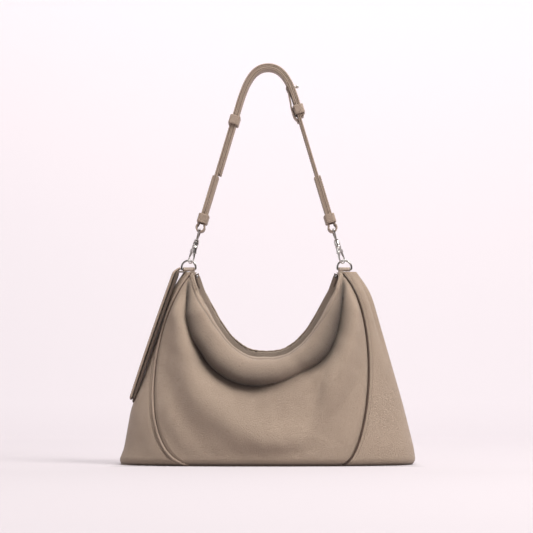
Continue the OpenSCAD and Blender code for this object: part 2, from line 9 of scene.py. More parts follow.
import bmesh
import bpy
import numpy as np
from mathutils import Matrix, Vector


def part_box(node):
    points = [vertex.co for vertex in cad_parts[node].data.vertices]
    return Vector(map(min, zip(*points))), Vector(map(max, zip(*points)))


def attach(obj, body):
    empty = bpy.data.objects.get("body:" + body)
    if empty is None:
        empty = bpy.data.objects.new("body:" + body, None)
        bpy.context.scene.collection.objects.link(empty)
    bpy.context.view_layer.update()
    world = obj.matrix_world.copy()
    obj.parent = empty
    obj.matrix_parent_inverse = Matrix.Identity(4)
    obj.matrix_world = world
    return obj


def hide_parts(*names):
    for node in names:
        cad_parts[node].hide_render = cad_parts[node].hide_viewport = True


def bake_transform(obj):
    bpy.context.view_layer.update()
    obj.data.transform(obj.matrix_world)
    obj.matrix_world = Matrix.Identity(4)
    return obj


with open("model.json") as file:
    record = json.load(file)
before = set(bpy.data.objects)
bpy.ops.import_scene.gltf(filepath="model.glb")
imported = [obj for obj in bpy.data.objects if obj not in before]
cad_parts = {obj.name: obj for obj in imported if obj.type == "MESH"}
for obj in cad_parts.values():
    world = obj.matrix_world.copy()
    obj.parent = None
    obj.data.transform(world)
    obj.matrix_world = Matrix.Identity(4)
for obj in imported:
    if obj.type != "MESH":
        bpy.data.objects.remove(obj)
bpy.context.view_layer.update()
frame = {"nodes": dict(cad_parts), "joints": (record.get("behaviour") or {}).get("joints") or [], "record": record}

MM = 0.001
RECORD = frame["record"]
JOINTS = {joint["name"]: joint for joint in frame["joints"]}
SLOTS = {part["node"]: part["material_slot"] for part in RECORD["subparts"]}
BODIES = {node: body for body, nodes in RECORD["behaviour"]["bodies"].items() for node in nodes}
FRONT, BACK, LEFT, RIGHT = -1, 1, -1, 1

# The bag's shape, as in the CAD model
BASE_HALF_W, BASE_HALF_D = 195.0, 64.0
APEX_HALF_D, APEX_Z = 16.0, 248.0
SIDE_SLOPE, SHOULDER_IN, SHOULDER_Z = 0.28, 9.0, 205.0
EDGE_R, LEFT_TUCK, TUCK_FROM_Z, TUCK_OVER = 10.0, 9.5, 58.0, 60.0
FOOT_X, FOOT_Z, BELLY_Z, SHOULDER_SEAM_Z = 95.0, 1.5, 6.0, 192.0
BELLY_X = {LEFT: 171.0, RIGHT: 129.0}
SHOULDER_X = {LEFT: 152.0, RIGHT: 154.0}
PINCH, PINCH_FROM_Z = 4.5, 222.0
SECTION_N, TAPER, SEAM_GAP = 2.3, 1.5, 0.8
RIM_X = {FRONT: 98.0, BACK: 91.0}
RIM_Z = {FRONT: 134.0, BACK: 144.0}
RIM_POWER = {FRONT: 2.65, BACK: 2.44}
RIM_SPREAD, LIP_START, MOUTH_HALF_GAP = math.radians(80), 0.72, 18.0
LEATHER_T, FACING_FROM, LINING_FROM, LINING_TO = 2.0, 0.76, 0.08, 0.75
TAPE_SPAN = (0.76, 0.88)
COIL_DEPTH = 6.8


# ---- Numbers and curves ----

def smooth(x):
    c = np.clip(x, 0, 1)
    return c * c * (3 - 2 * c)


def mix(a, b, t):
    return a + (b - a) * t


def bell(x, width):
    return np.exp(-(x / width) ** 2)


def unit(v):
    v = np.asarray(v, float)
    return v / np.maximum(np.linalg.norm(v, axis=-1, keepdims=True), 1e-12)


def bezier(a, b, c, d, t):
    return (1 - t) ** 3 * a + 3 * t * (1 - t) ** 2 * b + 3 * t * t * (1 - t) * c + t ** 3 * d


def spline(points, per_span=24):
    """A smooth line through a few points of any dimension."""
    p = np.asarray(points, float)
    p = np.vstack([2 * p[0] - p[1], p, 2 * p[-1] - p[-2]])
    t = np.linspace(0, 1, per_span, endpoint=False)[:, None]
    spans = []
    for a, b, c, d in zip(p[:-3], p[1:-2], p[2:-1], p[3:]):
        spans.append(0.5 * (2 * b + (c - a) * t + (2 * a - 5 * b + 4 * c - d) * t ** 2
                            + (3 * b - a - 3 * c + d) * t ** 3))
    return np.vstack(spans + [p[-2:-1]])


def arc(centre, radius, start, end, n=24):
    """Points on a circle between two angles in degrees."""
    a = np.radians(np.linspace(start, end, n))
    return np.stack([centre[0] + radius * np.cos(a), centre[1] + radius * np.sin(a)], 1)


def rounded(points, radius, n=5):
    """A closed outline with each corner rounded off."""
    p = np.asarray(points, float)
    out = []
    for i in range(len(p)):
        here, before, after = p[i], p[i - 1], p[(i + 1) % len(p)]
        cut = [min(radius, np.linalg.norm(q - here) * 0.45) for q in (before, after)]
        a = here + unit(before - here) * cut[0]
        b = here + unit(after - here) * cut[1]
        for t in np.linspace(0, 1, n):
            out.append((1 - t) ** 2 * a + 2 * t * (1 - t) * here + t * t * b)
    return np.array(out)


def rounded_box(half_a, half_b, radius, n=5):
    corners = [(-half_a, -half_b), (half_a, -half_b), (half_a, half_b), (-half_a, half_b)]
    return rounded(corners, radius, n)


def lengths(line):
    return np.concatenate([[0], np.cumsum(np.linalg.norm(np.diff(line, axis=0), axis=1))])


def resampled(line, at):
    """The points of a line at the given distances along it."""
    run = lengths(line)
    return np.stack([np.interp(at, run, line[:, k]) for k in range(line.shape[1])], 1)


def nearest(points, line):
    """For each (x, z) point, its distance from a line and the number of the nearest sample."""
    distance = np.empty(len(points))
    index = np.empty(len(points), int)
    for start in range(0, len(points), 4000):
        part = slice(start, start + 4000)
        gap = np.linalg.norm(points[part, None, :] - line[None, :, :], axis=2)
        index[part] = gap.argmin(1)
        distance[part] = gap.min(1)
    return distance, index


# ---- The bag's surfaces ----

def edge_in(z):
    return np.where(z < EDGE_R, EDGE_R - np.sqrt(np.maximum(0, EDGE_R ** 2 - (EDGE_R - z) ** 2)), 0)


def half_w(z, x):
    tuck = LEFT_TUCK * smooth((z - TUCK_FROM_Z) / TUCK_OVER)
    rounding = SHOULDER_IN * np.maximum(0, (z - SHOULDER_Z) / (APEX_Z - SHOULDER_Z)) ** 2
    return BASE_HALF_W - SIDE_SLOPE * z - edge_in(z) - np.where(x < 0, tuck, 0) - rounding


def half_d(z):
    rise = np.maximum(0, z / APEX_Z) ** TAPER
    pinch = PINCH * smooth((z - PINCH_FROM_Z) / (APEX_Z - PINCH_FROM_Z))
    return APEX_HALF_D + (BASE_HALF_D - APEX_HALF_D) * (1 - rise) - edge_in(z) - pinch


def depth_at(x, z):
    inside = np.maximum(0, 1 - (np.abs(x) / half_w(z, x)) ** SECTION_N)
    return half_d(z) * inside ** (1 / SECTION_N)


def seam(v, top_x, side):
    """The long seam, which bows out further on the left (side below 0) than on the right."""
    left = bezier(FOOT_X, BELLY_X[LEFT], SHOULDER_X[LEFT], top_x, v)
    right = bezier(FOOT_X, BELLY_X[RIGHT], SHOULDER_X[RIGHT], top_x, v)
    z = bezier(FOOT_Z, BELLY_Z, SHOULDER_SEAM_Z, APEX_Z, v)
    return np.where(side < 0, left, right), z


def panel_point(face, u, v):
    """The front or back panel: u across from -1 to 1, v from the base to the rim."""
    seam_x, seam_z = seam(v, RIM_X[face], u)
    h = (seam_z - FOOT_Z) / (APEX_Z - FOOT_Z)
    t = np.sin(RIM_SPREAD * u) / math.sin(RIM_SPREAD)
    x = u * (seam_x - SEAM_GAP) + h * RIM_X[face] * (t - u)
    z = FOOT_Z + h * (mix(RIM_Z[face], APEX_Z, np.abs(t) ** RIM_POWER[face]) - FOOT_Z)
    lip = np.clip((h - LIP_START) / (1 - LIP_START), 0, 1)
    roll = (1 - u ** 4) * (1 - np.sqrt(1 - lip * lip))
    return np.stack([x, face * mix(depth_at(x, z), MOUTH_HALF_GAP, roll), z], -1)


def gusset_point(side, u, v):
    """The left or right gusset: u from the front seam to the back one, v from the base up."""
    z = seam(v, 0, side)[1]
    w = half_w(z, side)
    ends = []
    for face in (FRONT, BACK):
        reach = np.clip((seam(v, RIM_X[face], side)[0] + SEAM_GAP) / w, 0, 1)
        ends.append(np.arccos(reach ** (SECTION_N / 2)))
    a = mix(ends[0], -ends[1], u)
    d = half_d(z) * np.abs(np.sin(a)) ** (2 / SECTION_N)
    return np.stack([side * w * np.cos(a) ** (2 / SECTION_N), -np.sign(a) * d, z], -1)


def normals_of(grid, outward):
    """Unit normals of a grid of points; outward is 1 or -1."""
    du = np.gradient(grid, axis=1)
    dv = np.gradient(grid, axis=0)
    return outward * unit(np.cross(du, dv))


def panel_grid(face, us, vs):
    u, v = np.meshgrid(us, vs)
    return panel_point(face, u, v)


def gusset_grid(side, us, vs):
    u, v = np.meshgrid(us, vs)
    return gusset_point(side, u, v)


# ---- Meshes ----

def put_mesh(name, vertices, faces, materials, smooth_angle=None):
    """A mesh object from points in millimetres."""
    mesh = bpy.data.meshes.new(name)
    mesh.from_pydata((np.asarray(vertices) * MM).tolist(), [], [list(map(int, f)) for f in faces])
    for material in materials:
        mesh.materials.append(material)
    mesh.polygons.foreach_set("use_smooth", [True] * len(mesh.polygons))
    if smooth_angle is not None:
        mesh.set_sharp_from_angle(angle=math.radians(smooth_angle))
    mesh.update()
    piece = bpy.data.objects.new(name, mesh)
    bpy.context.scene.collection.objects.link(piece)
    return piece


def note_points(piece, name, values):
    """Stores one number per vertex for the material to read."""
    attribute = piece.data.attributes.new(name, "FLOAT", "POINT")
    attribute.data.foreach_set("value", np.asarray(values, np.float32).ravel())


def stands_for(piece, *nodes):
    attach(piece, BODIES[nodes[0]])
    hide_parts(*nodes)
    return piece


def trims(piece, node, slot=None):
    """A detail that moves with a node without standing for one."""
    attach(piece, BODIES[node])
    slot or SLOTS[node]
    return piece


def ring_faces(rows, columns, closed):
    """Quads of a tube whose every row is a closed loop of columns."""
    i, k = np.meshgrid(np.arange(rows if closed else rows - 1), np.arange(columns), indexing="ij")
    j, m = (i + 1) % rows, (k + 1) % columns
    quads = np.stack([i * columns + k, i * columns + m, j * columns + m, j * columns + k], -1)
    return quads.reshape(-1, 4).tolist()


def sweep(name, points, a, b, profile, materials, closed=False, smooth_angle=50, scales=None):
    """A closed (a, b) profile carried along points; scales shrink it at each point."""
    points, profile = np.asarray(points, float), np.asarray(profile, float)
    a, b = np.broadcast_to(a, points.shape), np.broadcast_to(b, points.shape)
    size = np.ones(len(points)) if scales is None else np.asarray(scales, float)
    shape = profile[None, :, :] * size[:, None, None]
    vertices = points[:, None, :] + shape[..., :1] * a[:, None, :] + shape[..., 1:] * b[:, None, :]
    n = len(profile)
    faces = ring_faces(len(points), n, closed)
    if not closed:
        faces += [list(range(n))[::-1], [(len(points) - 1) * n + k for k in range(n)]]
    return put_mesh(name, vertices.reshape(-1, 3), faces, materials, smooth_angle)


def frames_along(points, closed=False):
    """Two directions across a line at each point, turning as little as possible."""
    if closed:
        along = unit(np.roll(points, -1, 0) - np.roll(points, 1, 0))
    else:
        along = unit(np.gradient(points, axis=0))
    start = np.cross(along[0], [0, 1, 0])
    if np.linalg.norm(start) < 0.1:
        start = np.cross(along[0], [1, 0, 0])
    a = [unit(start)]
    for t in along[1:]:
        a.append(unit(a[-1] - t * np.dot(a[-1], t)))
    a = np.array(a)
    return a, np.cross(along, a)


def tube(name, points, radius, materials, sides=16, closed=False, round_ends=True):
    """A round bar along points; radius is one number or one for each point."""
    points = np.asarray(points, float)
    radii = np.broadcast_to(radius, (len(points),)).astype(float)
    if round_ends and not closed:
        cap = np.linspace(0, 90, 5)[:-1]
        ends = []
        for end, inside in ((0, 1), (-1, -2)):
            out = unit(points[end] - points[inside])
            ends.append((points[end] + out * radii[end] * np.cos(np.radians(cap))[:, None],
                         radii[end] * np.maximum(np.sin(np.radians(cap)), 0.02)))
        points = np.vstack([ends[0][0], points, ends[1][0][::-1]])
        radii = np.concatenate([ends[0][1], radii, ends[1][1][::-1]])
    a, b = frames_along(points, closed)
    circle = arc((0, 0), 1, 0, 360, sides + 1)[:-1]
    return sweep(name, points, a, b, circle, materials, closed, 70, radii)


def lathe(name, origin, axis, stations, materials, sides=40):
    """A turned piece: stations are (distance along the axis, radius)."""
    axis = unit(axis)
    points = np.array([np.asarray(origin, float) + axis * s for s, _ in stations])
    across = unit(np.cross(axis, [0, 1, 0] if abs(axis[1]) < 0.9 else [1, 0, 0]))
    circle = arc((0, 0), 1, 0, 360, sides + 1)[:-1]
    return sweep(name, points, across, np.cross(axis, across), circle, materials,
                 smooth_angle=35, scales=[r for _, r in stations])


def shell(name, grid, outward, thickness, materials, lip=True):
    """A closed sheet: its outer face is the grid, and its top edge is rolled over."""
    normals = normals_of(grid, outward)
    inner = grid - normals * thickness
    rows = list(grid)
    if lip:
        up = unit(grid[-1] - grid[-2])
        for angle in np.radians(np.linspace(0, 180, 8))[1:-1]:
            turn = np.cos(angle) * normals[-1] + np.sin(angle) * up
            rows.append(grid[-1] - normals[-1] * thickness / 2 + turn * thickness / 2)
    rows += list(inner[::-1])
    rows = np.array(rows)
    count, columns = rows.shape[:2]
    i, k = np.meshgrid(np.arange(count), np.arange(columns - 1), indexing="ij")
    j = (i + 1) % count
    quads = np.stack([i * columns + k, i * columns + k + 1, j * columns + k + 1, j * columns + k], -1)
    faces = quads.reshape(-1, 4).tolist()
    for row in range(count // 2 - 1):
        low = [row, row + 1, count - 2 - row, count - 1 - row]
        faces.append([r * columns for r in low])
        faces.append([r * columns + columns - 1 for r in low[::-1]])
    if outward < 0:
        faces = [f[::-1] for f in faces]
    return put_mesh(name, rows.reshape(-1, 3), faces, materials, 60)


def plate(name, outlines, thickness, edge, place, materials):
    """A flat piece with rounded edges: outlines are closed (across, along) lines, holes included."""
    curve = bpy.data.curves.new(name, "CURVE")
    curve.dimensions = "2D"
    curve.fill_mode = "BOTH"
    curve.extrude = (thickness / 2 - edge) * MM
    curve.bevel_depth = edge * MM
    curve.bevel_resolution = 3
    curve.offset = -edge * MM
    for outline in outlines:
        line = curve.splines.new("POLY")
        line.points.add(len(outline) - 1)
        line.points.foreach_set("co", [c for x, y in outline for c in (x * MM, y * MM, 0, 1)])
        line.use_cyclic_u = True
    holder = bpy.data.objects.new(name, curve)
    bpy.context.scene.collection.objects.link(holder)
    flat = bpy.data.meshes.new_from_object(holder.evaluated_get(bpy.context.evaluated_depsgraph_get()))
    vertices = np.array([place(*[c / MM for c in v.co]) for v in flat.vertices])
    faces = [list(p.vertices) for p in flat.polygons]
    bpy.data.objects.remove(holder)
    piece = put_mesh(name, vertices, faces, materials, 35)
    weld(piece)
    return piece


def weld(piece):
    """Joins the doubled corners that a filled curve leaves."""
    work = bmesh.new()
    work.from_mesh(piece.data)
    bmesh.ops.remove_doubles(work, verts=work.verts, dist=0.00001)
    bmesh.ops.recalc_face_normals(work, faces=work.faces)
    work.to_mesh(piece.data)
    work.free()


def stitches(name, rows, materials, pitch=3.0, length=2.1, radius=0.3):
    """Rows of thread: each row is a line of points and the surface normals along it."""
    spots, alongs, normals = [], [], []
    for line, normal in rows:
        total = lengths(line)[-1]
        at = np.arange(pitch / 2, total - pitch / 3, pitch)
        spots.append(resampled(line, at))
        alongs.append(unit(resampled(line, at + 0.3) - resampled(line, at - 0.3)))
        normals.append(unit(np.stack([np.interp(at, lengths(line), normal[:, k]) for k in range(3)], 1)))
    spots, alongs, normals = map(np.vstack, (spots, alongs, normals))
    stations = np.array([-0.5, -0.42, -0.2, 0, 0.2, 0.42, 0.5])
    fat = np.array([0.25, 0.8, 1, 1, 1, 0.8, 0.25])
    dip = np.array([-1.0, -0.3, 0.15, 0.25, 0.15, -0.3, -1.0])
    ring = arc((0, 0), 1, 0, 360, 7)[:-1]
    sides = np.cross(alongs, normals)
    centre = (spots[:, None, :] + alongs[:, None, :] * (stations * length)[None, :, None]
              + normals[:, None, :] * (dip * radius)[None, :, None])
    around = (sides[:, None, None, :] * ring[None, None, :, :1]
              + normals[:, None, None, :] * ring[None, None, :, 1:])
    vertices = centre[:, :, None, :] + around * (fat * radius)[None, :, None, None]
    one = ring_faces(len(stations), 6, False)
    one += [list(range(6))[::-1], [(len(stations) - 1) * 6 + k for k in range(6)]]
    each = len(stations) * 6
    faces = [[c + each * s for c in f] for s in range(len(spots)) for f in one]
    return put_mesh(name, vertices.reshape(-1, 3), faces, materials)


def line_inside(grid, normals, distance, axis, end):
    """The line a given distance in from one end of a grid's rows or columns, with its normals."""
    lines = np.swapaxes(grid, 0, 1) if axis == 0 else grid
    ways = np.swapaxes(normals, 0, 1) if axis == 0 else normals
    points, directions = [], []
    for line, way in zip(lines, ways):
        if end > 0:
            line, way = line[::-1], way[::-1]
        run = lengths(line)
        points.append([np.interp(distance, run, line[:, k]) for k in range(3)])
        directions.append([np.interp(distance, run, way[:, k]) for k in range(3)])
    return np.array(points), unit(np.array(directions))


# ---- Materials ----

class Nodes:
    """A short way to write a material's node tree."""

    def __init__(self, name):
        self.material = bpy.data.materials.new(name)
        self.material.use_nodes = True
        self.tree = self.material.node_tree
        self.shader = self.tree.nodes["Principled BSDF"]
        self.place = self.add("ShaderNodeTexCoord").outputs["Object"]

    def add(self, kind, links=None, **settings):
        node = self.tree.nodes.new(kind)
        for key, value in settings.items():
            setattr(node, key, value)
        for socket, value in (links or {}).items():
            self.set(node.inputs[socket], value)
        return node

    def set(self, socket, value):
        if isinstance(value, bpy.types.NodeSocket):
            self.tree.links.new(value, socket)
        else:
            socket.default_value = value

    def noise(self, scale, detail=3.0, rough=0.5, where=None):
        made = self.add("ShaderNodeTexNoise",
                        {"Vector": where or self.place, "Scale": scale, "Detail": detail,
                         "Roughness": rough})
        return made.outputs["Fac"]

    def span(self, value, low, high, to_low, to_high):
        made = self.add("ShaderNodeMapRange", {0: value, 1: low, 2: high, 3: to_low, 4: to_high})
        return made.outputs[0]

    def math(self, kind, a, b=0.0):
        return self.add("ShaderNodeMath", {0: a, 1: b}, operation=kind).outputs[0]

    def blend(self, factor, a, b, kind="MIX"):
        made = self.add("ShaderNodeMix", data_type="RGBA", blend_type=kind)
        self.set(made.inputs[0], factor)
        self.set(made.inputs[6], a)
        self.set(made.inputs[7], b)
        return made.outputs[2]

    def point_value(self, name):
        return self.add("ShaderNodeAttribute", attribute_name=name).outputs["Fac"]

    def bump(self, height, distance, strength=1.0):
        made = self.add("ShaderNodeBump", {"Height": height, "Distance": distance,
                                           "Strength": strength})
        self.set(self.shader.inputs["Normal"], made.outputs[0])

    def finish(self, **values):
        for key, value in values.items():
            self.set(self.shader.inputs[key.replace("_", " ")], value)
        return self.material


def colour(r, g, b):
    return (r, g, b, 1.0)


def leather(name, base, crease, grain=0.0015, rough=(0.42, 0.6), reads_hollow=False):
    """Pebbled leather: rounded grains with darker creases, patchy tone and a soft sheen; where asked, painted
    shade from a per-point value.
    """
    n = Nodes(name)
    warp = n.noise(260, 2)
    shifted = n.add("ShaderNodeVectorMath", {0: n.place, 1: n.math("MULTIPLY", warp, grain * 1.4)},
                    operation="ADD").outputs[0]
    pebble = n.add("ShaderNodeTexVoronoi", {"Vector": shifted, "Scale": 1 / grain, "Randomness": 0.9},
                   feature="DISTANCE_TO_EDGE").outputs[0]
    dome = n.span(pebble, 0.0, 0.22, 0.0, 1.0)
    fine = n.noise(2600, 2)
    patch = n.noise(9, 3, 0.55)
    cloud = n.noise(38, 4, 0.6)
    tone = n.blend(n.span(patch, 0.3, 0.7, 0.0, 1.0),
                   colour(*[c * 0.93 for c in base]), colour(*[c * 1.06 for c in base]))
    tone = n.blend(n.span(cloud, 0.35, 0.75, 0.0, 0.16), tone, colour(*[c * 0.8 for c in base]))
    tone = n.blend(n.span(dome, 0.0, 0.6, 0.42, 0.0), tone, colour(*crease))
    # Painted shade: a per-point value darkens the tone towards near-black brown where shade falls.
    if reads_hollow:
        tone = n.blend(n.point_value("hollow"), tone, colour(*[c * 0.22 for c in crease]))
    height = n.math("ADD", n.math("MULTIPLY", dome, 0.8), n.math("MULTIPLY", fine, 0.25))
    n.bump(height, grain * 0.5, 0.9)
    shine = n.math("ADD", n.span(cloud, 0.3, 0.7, rough[0], rough[1]), n.math("MULTIPLY", fine, 0.08))
    return n.finish(Base_Color=tone, Roughness=shine, Specular_IOR_Level=0.36, Sheen_Weight=0.08,
                    Sheen_Roughness=0.5)


def edge_paint(name, base):
    """Smooth painted leather edges."""
    n = Nodes(name)
    tone = n.blend(n.span(n.noise(60, 3), 0.3, 0.7, 0.0, 1.0), colour(*base),
                   colour(*[c * 1.5 for c in base]))
    n.bump(n.noise(900, 3), 0.00015, 0.6)
    return n.finish(Base_Color=tone, Roughness=n.span(n.noise(200, 2), 0.3, 0.7, 0.34, 0.5))


def thread(name, base):
    """Twisted thread with fine plies."""
    n = Nodes(name)
    ply = n.add("ShaderNodeTexWave", {"Vector": n.place, "Scale": 900.0, "Distortion": 1.0},
                bands_direction="DIAGONAL").outputs["Fac"]
    n.bump(ply, 0.0001, 0.7)
    tone = n.blend(ply, colour(*[c * 0.72 for c in base]), colour(*base))
    return n.finish(Base_Color=tone, Roughness=0.62, Sheen_Weight=0.3)


def woven(name, base, pitch, contrast=0.6):
    """Cloth woven of crossing yarns."""
    n = Nodes(name)
    yarns = []
    for direction in ("X", "Z"):
        yarns.append(n.add("ShaderNodeTexWave",
                           {"Vector": n.place, "Scale": 0.314 / pitch, "Distortion": 0.4},
                           bands_direction=direction).outputs["Fac"])
    weave = n.math("MULTIPLY", yarns[0], yarns[1])
    tone = n.blend(n.span(weave, 0.0, 0.8, 0.0, 1.0), colour(*[c * contrast for c in base]),
                   colour(*base))
    tone = n.blend(n.span(n.noise(22, 3), 0.35, 0.7, 0.0, 0.25), tone,
                   colour(*[c * 0.75 for c in base]))
    n.bump(weave, 0.00015, 0.8)
    return n.finish(Base_Color=tone, Roughness=0.82, Sheen_Weight=0.35)


def metal(name, base, rough):
    """Plated metal with faint rub marks and a slightly uneven polish."""
    n = Nodes(name)
    rub = n.noise(420, 5, 0.65)
    cloudy = n.noise(70, 3)
    tone = n.blend(n.span(cloudy, 0.35, 0.7, 0.0, 1.0), colour(*base),
                   colour(*[c * 0.78 for c in base]))
    n.bump(rub, 0.00003, 0.35)
    return n.finish(Base_Color=tone, Metallic=1.0,
                    Roughness=n.span(rub, 0.3, 0.7, rough * 0.7, rough * 1.4))


def board_material():
    n = Nodes("base_board_fibre")
    flecks = n.noise(500, 4, 0.7)
    tone = n.blend(flecks, colour(0.16, 0.13, 0.11), colour(0.3, 0.26, 0.22))
    n.bump(flecks, 0.0001, 0.5)
    return n.finish(Base_Color=tone, Roughness=0.85)


TAUPE = (0.392, 0.298, 0.222)
CREASE = (0.24, 0.172, 0.128)
M = {
    "body": leather("body_leather", TAUPE, CREASE, reads_hollow=True),
    "strap": leather("strap_leather", (0.38, 0.286, 0.218), CREASE, grain=0.0008),
    # The facing leather is a lighter copy of the body leather, as painted light on the shaded band inside the
    # mouth; the ring tabs use it too.
    "inside": leather("facing_leather", (0.43, 0.34, 0.27), CREASE, grain=0.0009, rough=(0.5, 0.66)),
    # The tail's inner ply: its own brown leather, darkened to near-black as painted shade for the gap beside the
    # gusset.
    "shaded_suede": leather("tail_inner_leather", (0.12, 0.082, 0.058), (0.06, 0.04, 0.028), grain=0.0008,
                     rough=(0.55, 0.7)),
    "paint": edge_paint("brown_edge_paint", (0.055, 0.033, 0.022)),
    "thread": thread("matching_thread", (0.34, 0.25, 0.185)),
    "dark_thread": thread("brown_thread", (0.15, 0.1, 0.07)),
    "cloth": woven("lining_twill", (0.40, 0.345, 0.285), 0.0006),
    "tape": woven("zip_tape_weave", (0.30, 0.245, 0.195), 0.0005, 0.5),
    "coil": metal("zip_coil_metal", (0.55, 0.53, 0.5), 0.22),
    "nickel": metal("polished_nickel", (0.62, 0.6, 0.565), 0.13),
    "gunmetal": metal("darker_nickel", (0.36, 0.345, 0.325), 0.15),
    "steel": metal("spring_steel", (0.5, 0.5, 0.5), 0.25),
    "board": board_material(),
}


# ---- The soft walls ----

# Each fold is a line of (x, z, height, width towards the mouth, width away from it)
FRONT_FOLDS = [
    [(-106, 243, 0.5, 3, 4), (-112, 225, 5, 6, 7), (-111, 188, 9, 9, 12), (-102, 147, 11, 12, 18),
     (-86, 93, 12, 19, 25), (-53, 59, 11, 24, 24), (-17, 38, 9, 27, 22), (14, 31, 7, 26, 18),
     (40, 36, 3.5, 24, 18),
     (66, 50, 0, 22, 18)],
    [(106, 243, 0.5, 3, 4), (109, 226, 5, 6, 6), (111, 188, 9, 9, 10), (100, 138, 11, 14, 16),
     (82, 97, 9, 18, 20), (66, 70, 4, 18, 20), (54, 46, 0, 16, 20)],
    [(-130, 98, 0, 8, 8), (-123, 68, 2.6, 13, 12), (-106, 38, 2.2, 13, 12), (-84, 22, 0, 10, 10)],
    [(74, 126, 0, 9, 8), (65, 92, -6, 14, 9), (56, 66, -4, 13, 9), (44, 48, 0, 10, 10)],
    [(-60, 22, 0, 10, 8), (-20, 17, -1.6, 12, 9), (30, 18, -1.6, 12, 9), (80, 26, 0, 10, 8)],
]
BACK_FOLDS = [
    [(-102, 236, 0, 6, 7), (-100, 190, 4, 11, 14), (-78, 120, 5, 18, 22), (-30, 66, 5, 26, 26),
     (30, 52, 0, 26, 24)],
    [(102, 236, 0, 6, 7), (101, 180, 4, 11, 14), (84, 110, 5, 18, 22), (48, 58, 2, 24, 24),
     (20, 42, 0, 24, 24)],
]
# The crease under the mouth's soft roll, as (x, z) from one top corner to the other
VALLEY = [(-101.5, 244), (-102.5, 215), (-101.8, 190), (-96.5, 167), (-86.5, 149), (-75.5, 132),
          (-63, 119.5), (-48, 110), (-30, 103.5), (-10, 102), (8, 104.5), (20, 108), (32, 113),
          (44, 119), (56, 125), (68, 133), (79.5, 147), (88, 167), (92.5, 186), (96, 206),
          (99, 225), (101.5, 244)]
VALLEY_WAYS = {FRONT: 1.0, BACK: 0.0}
ROLL_CREST = 0.32
ROLL_HEIGHT = {FRONT: 15.0, BACK: 8.0}


def valley_line():
    return spline(VALLEY, 16)


def rim_line(face):
    return panel_point(face, np.linspace(-1, 1, 401), np.ones(401))[:, [0, 2]]


def fold_height(flat, folds):
    """The summed height of the folds at (x, z) points."""
    total = np.zeros(len(flat))
    for fold in folds:
        line = spline(fold)
        distance, index = nearest(flat, line[:, :2])
        here = line[index]
        along = unit(np.gradient(line[:, :2], axis=0))[index]
        away = flat - here[:, :2]
        side = along[:, 0] * away[:, 1] - along[:, 1] * away[:, 0]
        left_to_right = line[-1, 0] > line[0, 0]
        towards_mouth = (side > 0) == left_to_right
        total += here[:, 2] * bell(distance, np.where(towards_mouth, here[:, 3], here[:, 4]))
    return total


def crease_strength(x):
    """How deep the crease under the roll is: deep at the sides, softer towards the middle."""
    return 0.4 + 0.6 * np.maximum(smooth((36 - x) / 60), smooth((x - 30) / 48))


def slouched(face, grid, fade):
    """Adds the mouth's soft roll, the crease under it and the folds to a panel, with painted shade for the crease.
    """
    shape = grid.shape
    points = grid.reshape(-1, 3)
    flat = points[:, [0, 2]]
    fade = fade.ravel()
    valley = valley_line()
    to_valley, at = nearest(flat, valley)
    to_rim, _ = nearest(flat, rim_line(face))
    outside = (np.abs(flat[:, 0]) > valley[-1, 0]) | (flat[:, 1] < np.interp(flat[:, 0], *valley.T))
    width = np.clip(np.where(outside, to_rim - to_valley, to_rim + to_valley), 4, 48)
    t = np.where(outside, 1 + to_valley / width, to_rim / width)
    low = smooth((APEX_Z - flat[:, 1]) / 80)
    spill = np.where(flat[:, 0] < 0, 1.6 + 9 * smooth((172 - flat[:, 1]) / 45), 3 + 7 * low)
    sharp = crease_strength(valley[at, 0]) * VALLEY_WAYS[face]
    height = np.minimum(ROLL_HEIGHT[face], 0.6 * width)
    rising = np.sin(np.clip(t / ROLL_CREST, 0, 1) * math.pi / 2) ** 0.85
    past = np.maximum(0, t - ROLL_CREST)
    falling_hard = np.cos(np.clip(past / (1 - ROLL_CREST), 0, 1) * math.pi / 2) ** 0.8
    falling_soft = bell(past * width, 0.62 * width)
    roll = height * np.where(t < ROLL_CREST, rising, mix(falling_soft, falling_hard, sharp))
    crease_depth = sharp * (2 + 5 * low)
    roll = roll - crease_depth * bell(to_valley, np.where(outside, 1.6 + spill, 4.0))
    roll = roll + fold_height(flat, FRONT_FOLDS if face == FRONT else BACK_FOLDS) * np.where(
        outside, 1, smooth(1 - to_valley / 12))
    away = unit(flat - valley[at]) * np.where(outside, 1, -1)[:, None]
    overhang = sharp * height * 0.16 * smooth((t - 0.3) / 0.4) * (1 - smooth((t - 0.86) / 0.14))
    normal = normals_of(grid, -face).reshape(-1, 3)
    normal[:, 2] *= 0.25
    calm = fade * smooth((234 - flat[:, 1]) / 44)
    moved = points + unit(normal) * (roll * calm)[:, None]
    moved[:, 0] += away[:, 0] * overhang * calm
    moved[:, 2] += away[:, 1] * overhang * calm
    # Painted shade: dark in the crease under the roll, spreading wider below it.
    dark = sharp * np.where(outside, bell(to_valley, spill), bell(to_valley, 3 + 12 * low))
    return moved.reshape(shape), (0.95 * dark * fade).reshape(shape[:2])


def seam_distance(grid):
    """How far each point of a grid is from its two side edges, along its row."""
    steps = np.linalg.norm(np.diff(grid, axis=1), axis=2)
    run = np.concatenate([np.zeros((len(grid), 1)), np.cumsum(steps, 1)], 1)
    return np.minimum(run, run[:, -1:] - run)


STITCH_IN = 4.2
RIM_STITCH = 4.8


def below_rim(face, grid):
    """How far each point of a wall's grid is from its rim, as seen from the front."""
    flat = grid.reshape(-1, 3)[:, [0, 2]]
    return nearest(flat, rim_line(face))[0].reshape(grid.shape[:2])


def rim_profile(distance):
    """The turned bead along a rim and the groove of its stitching."""
    bead = 0.7 * smooth((RIM_STITCH - 0.4 - distance) / 1.6)
    return bead - 0.7 * bell(distance - RIM_STITCH, 0.8)


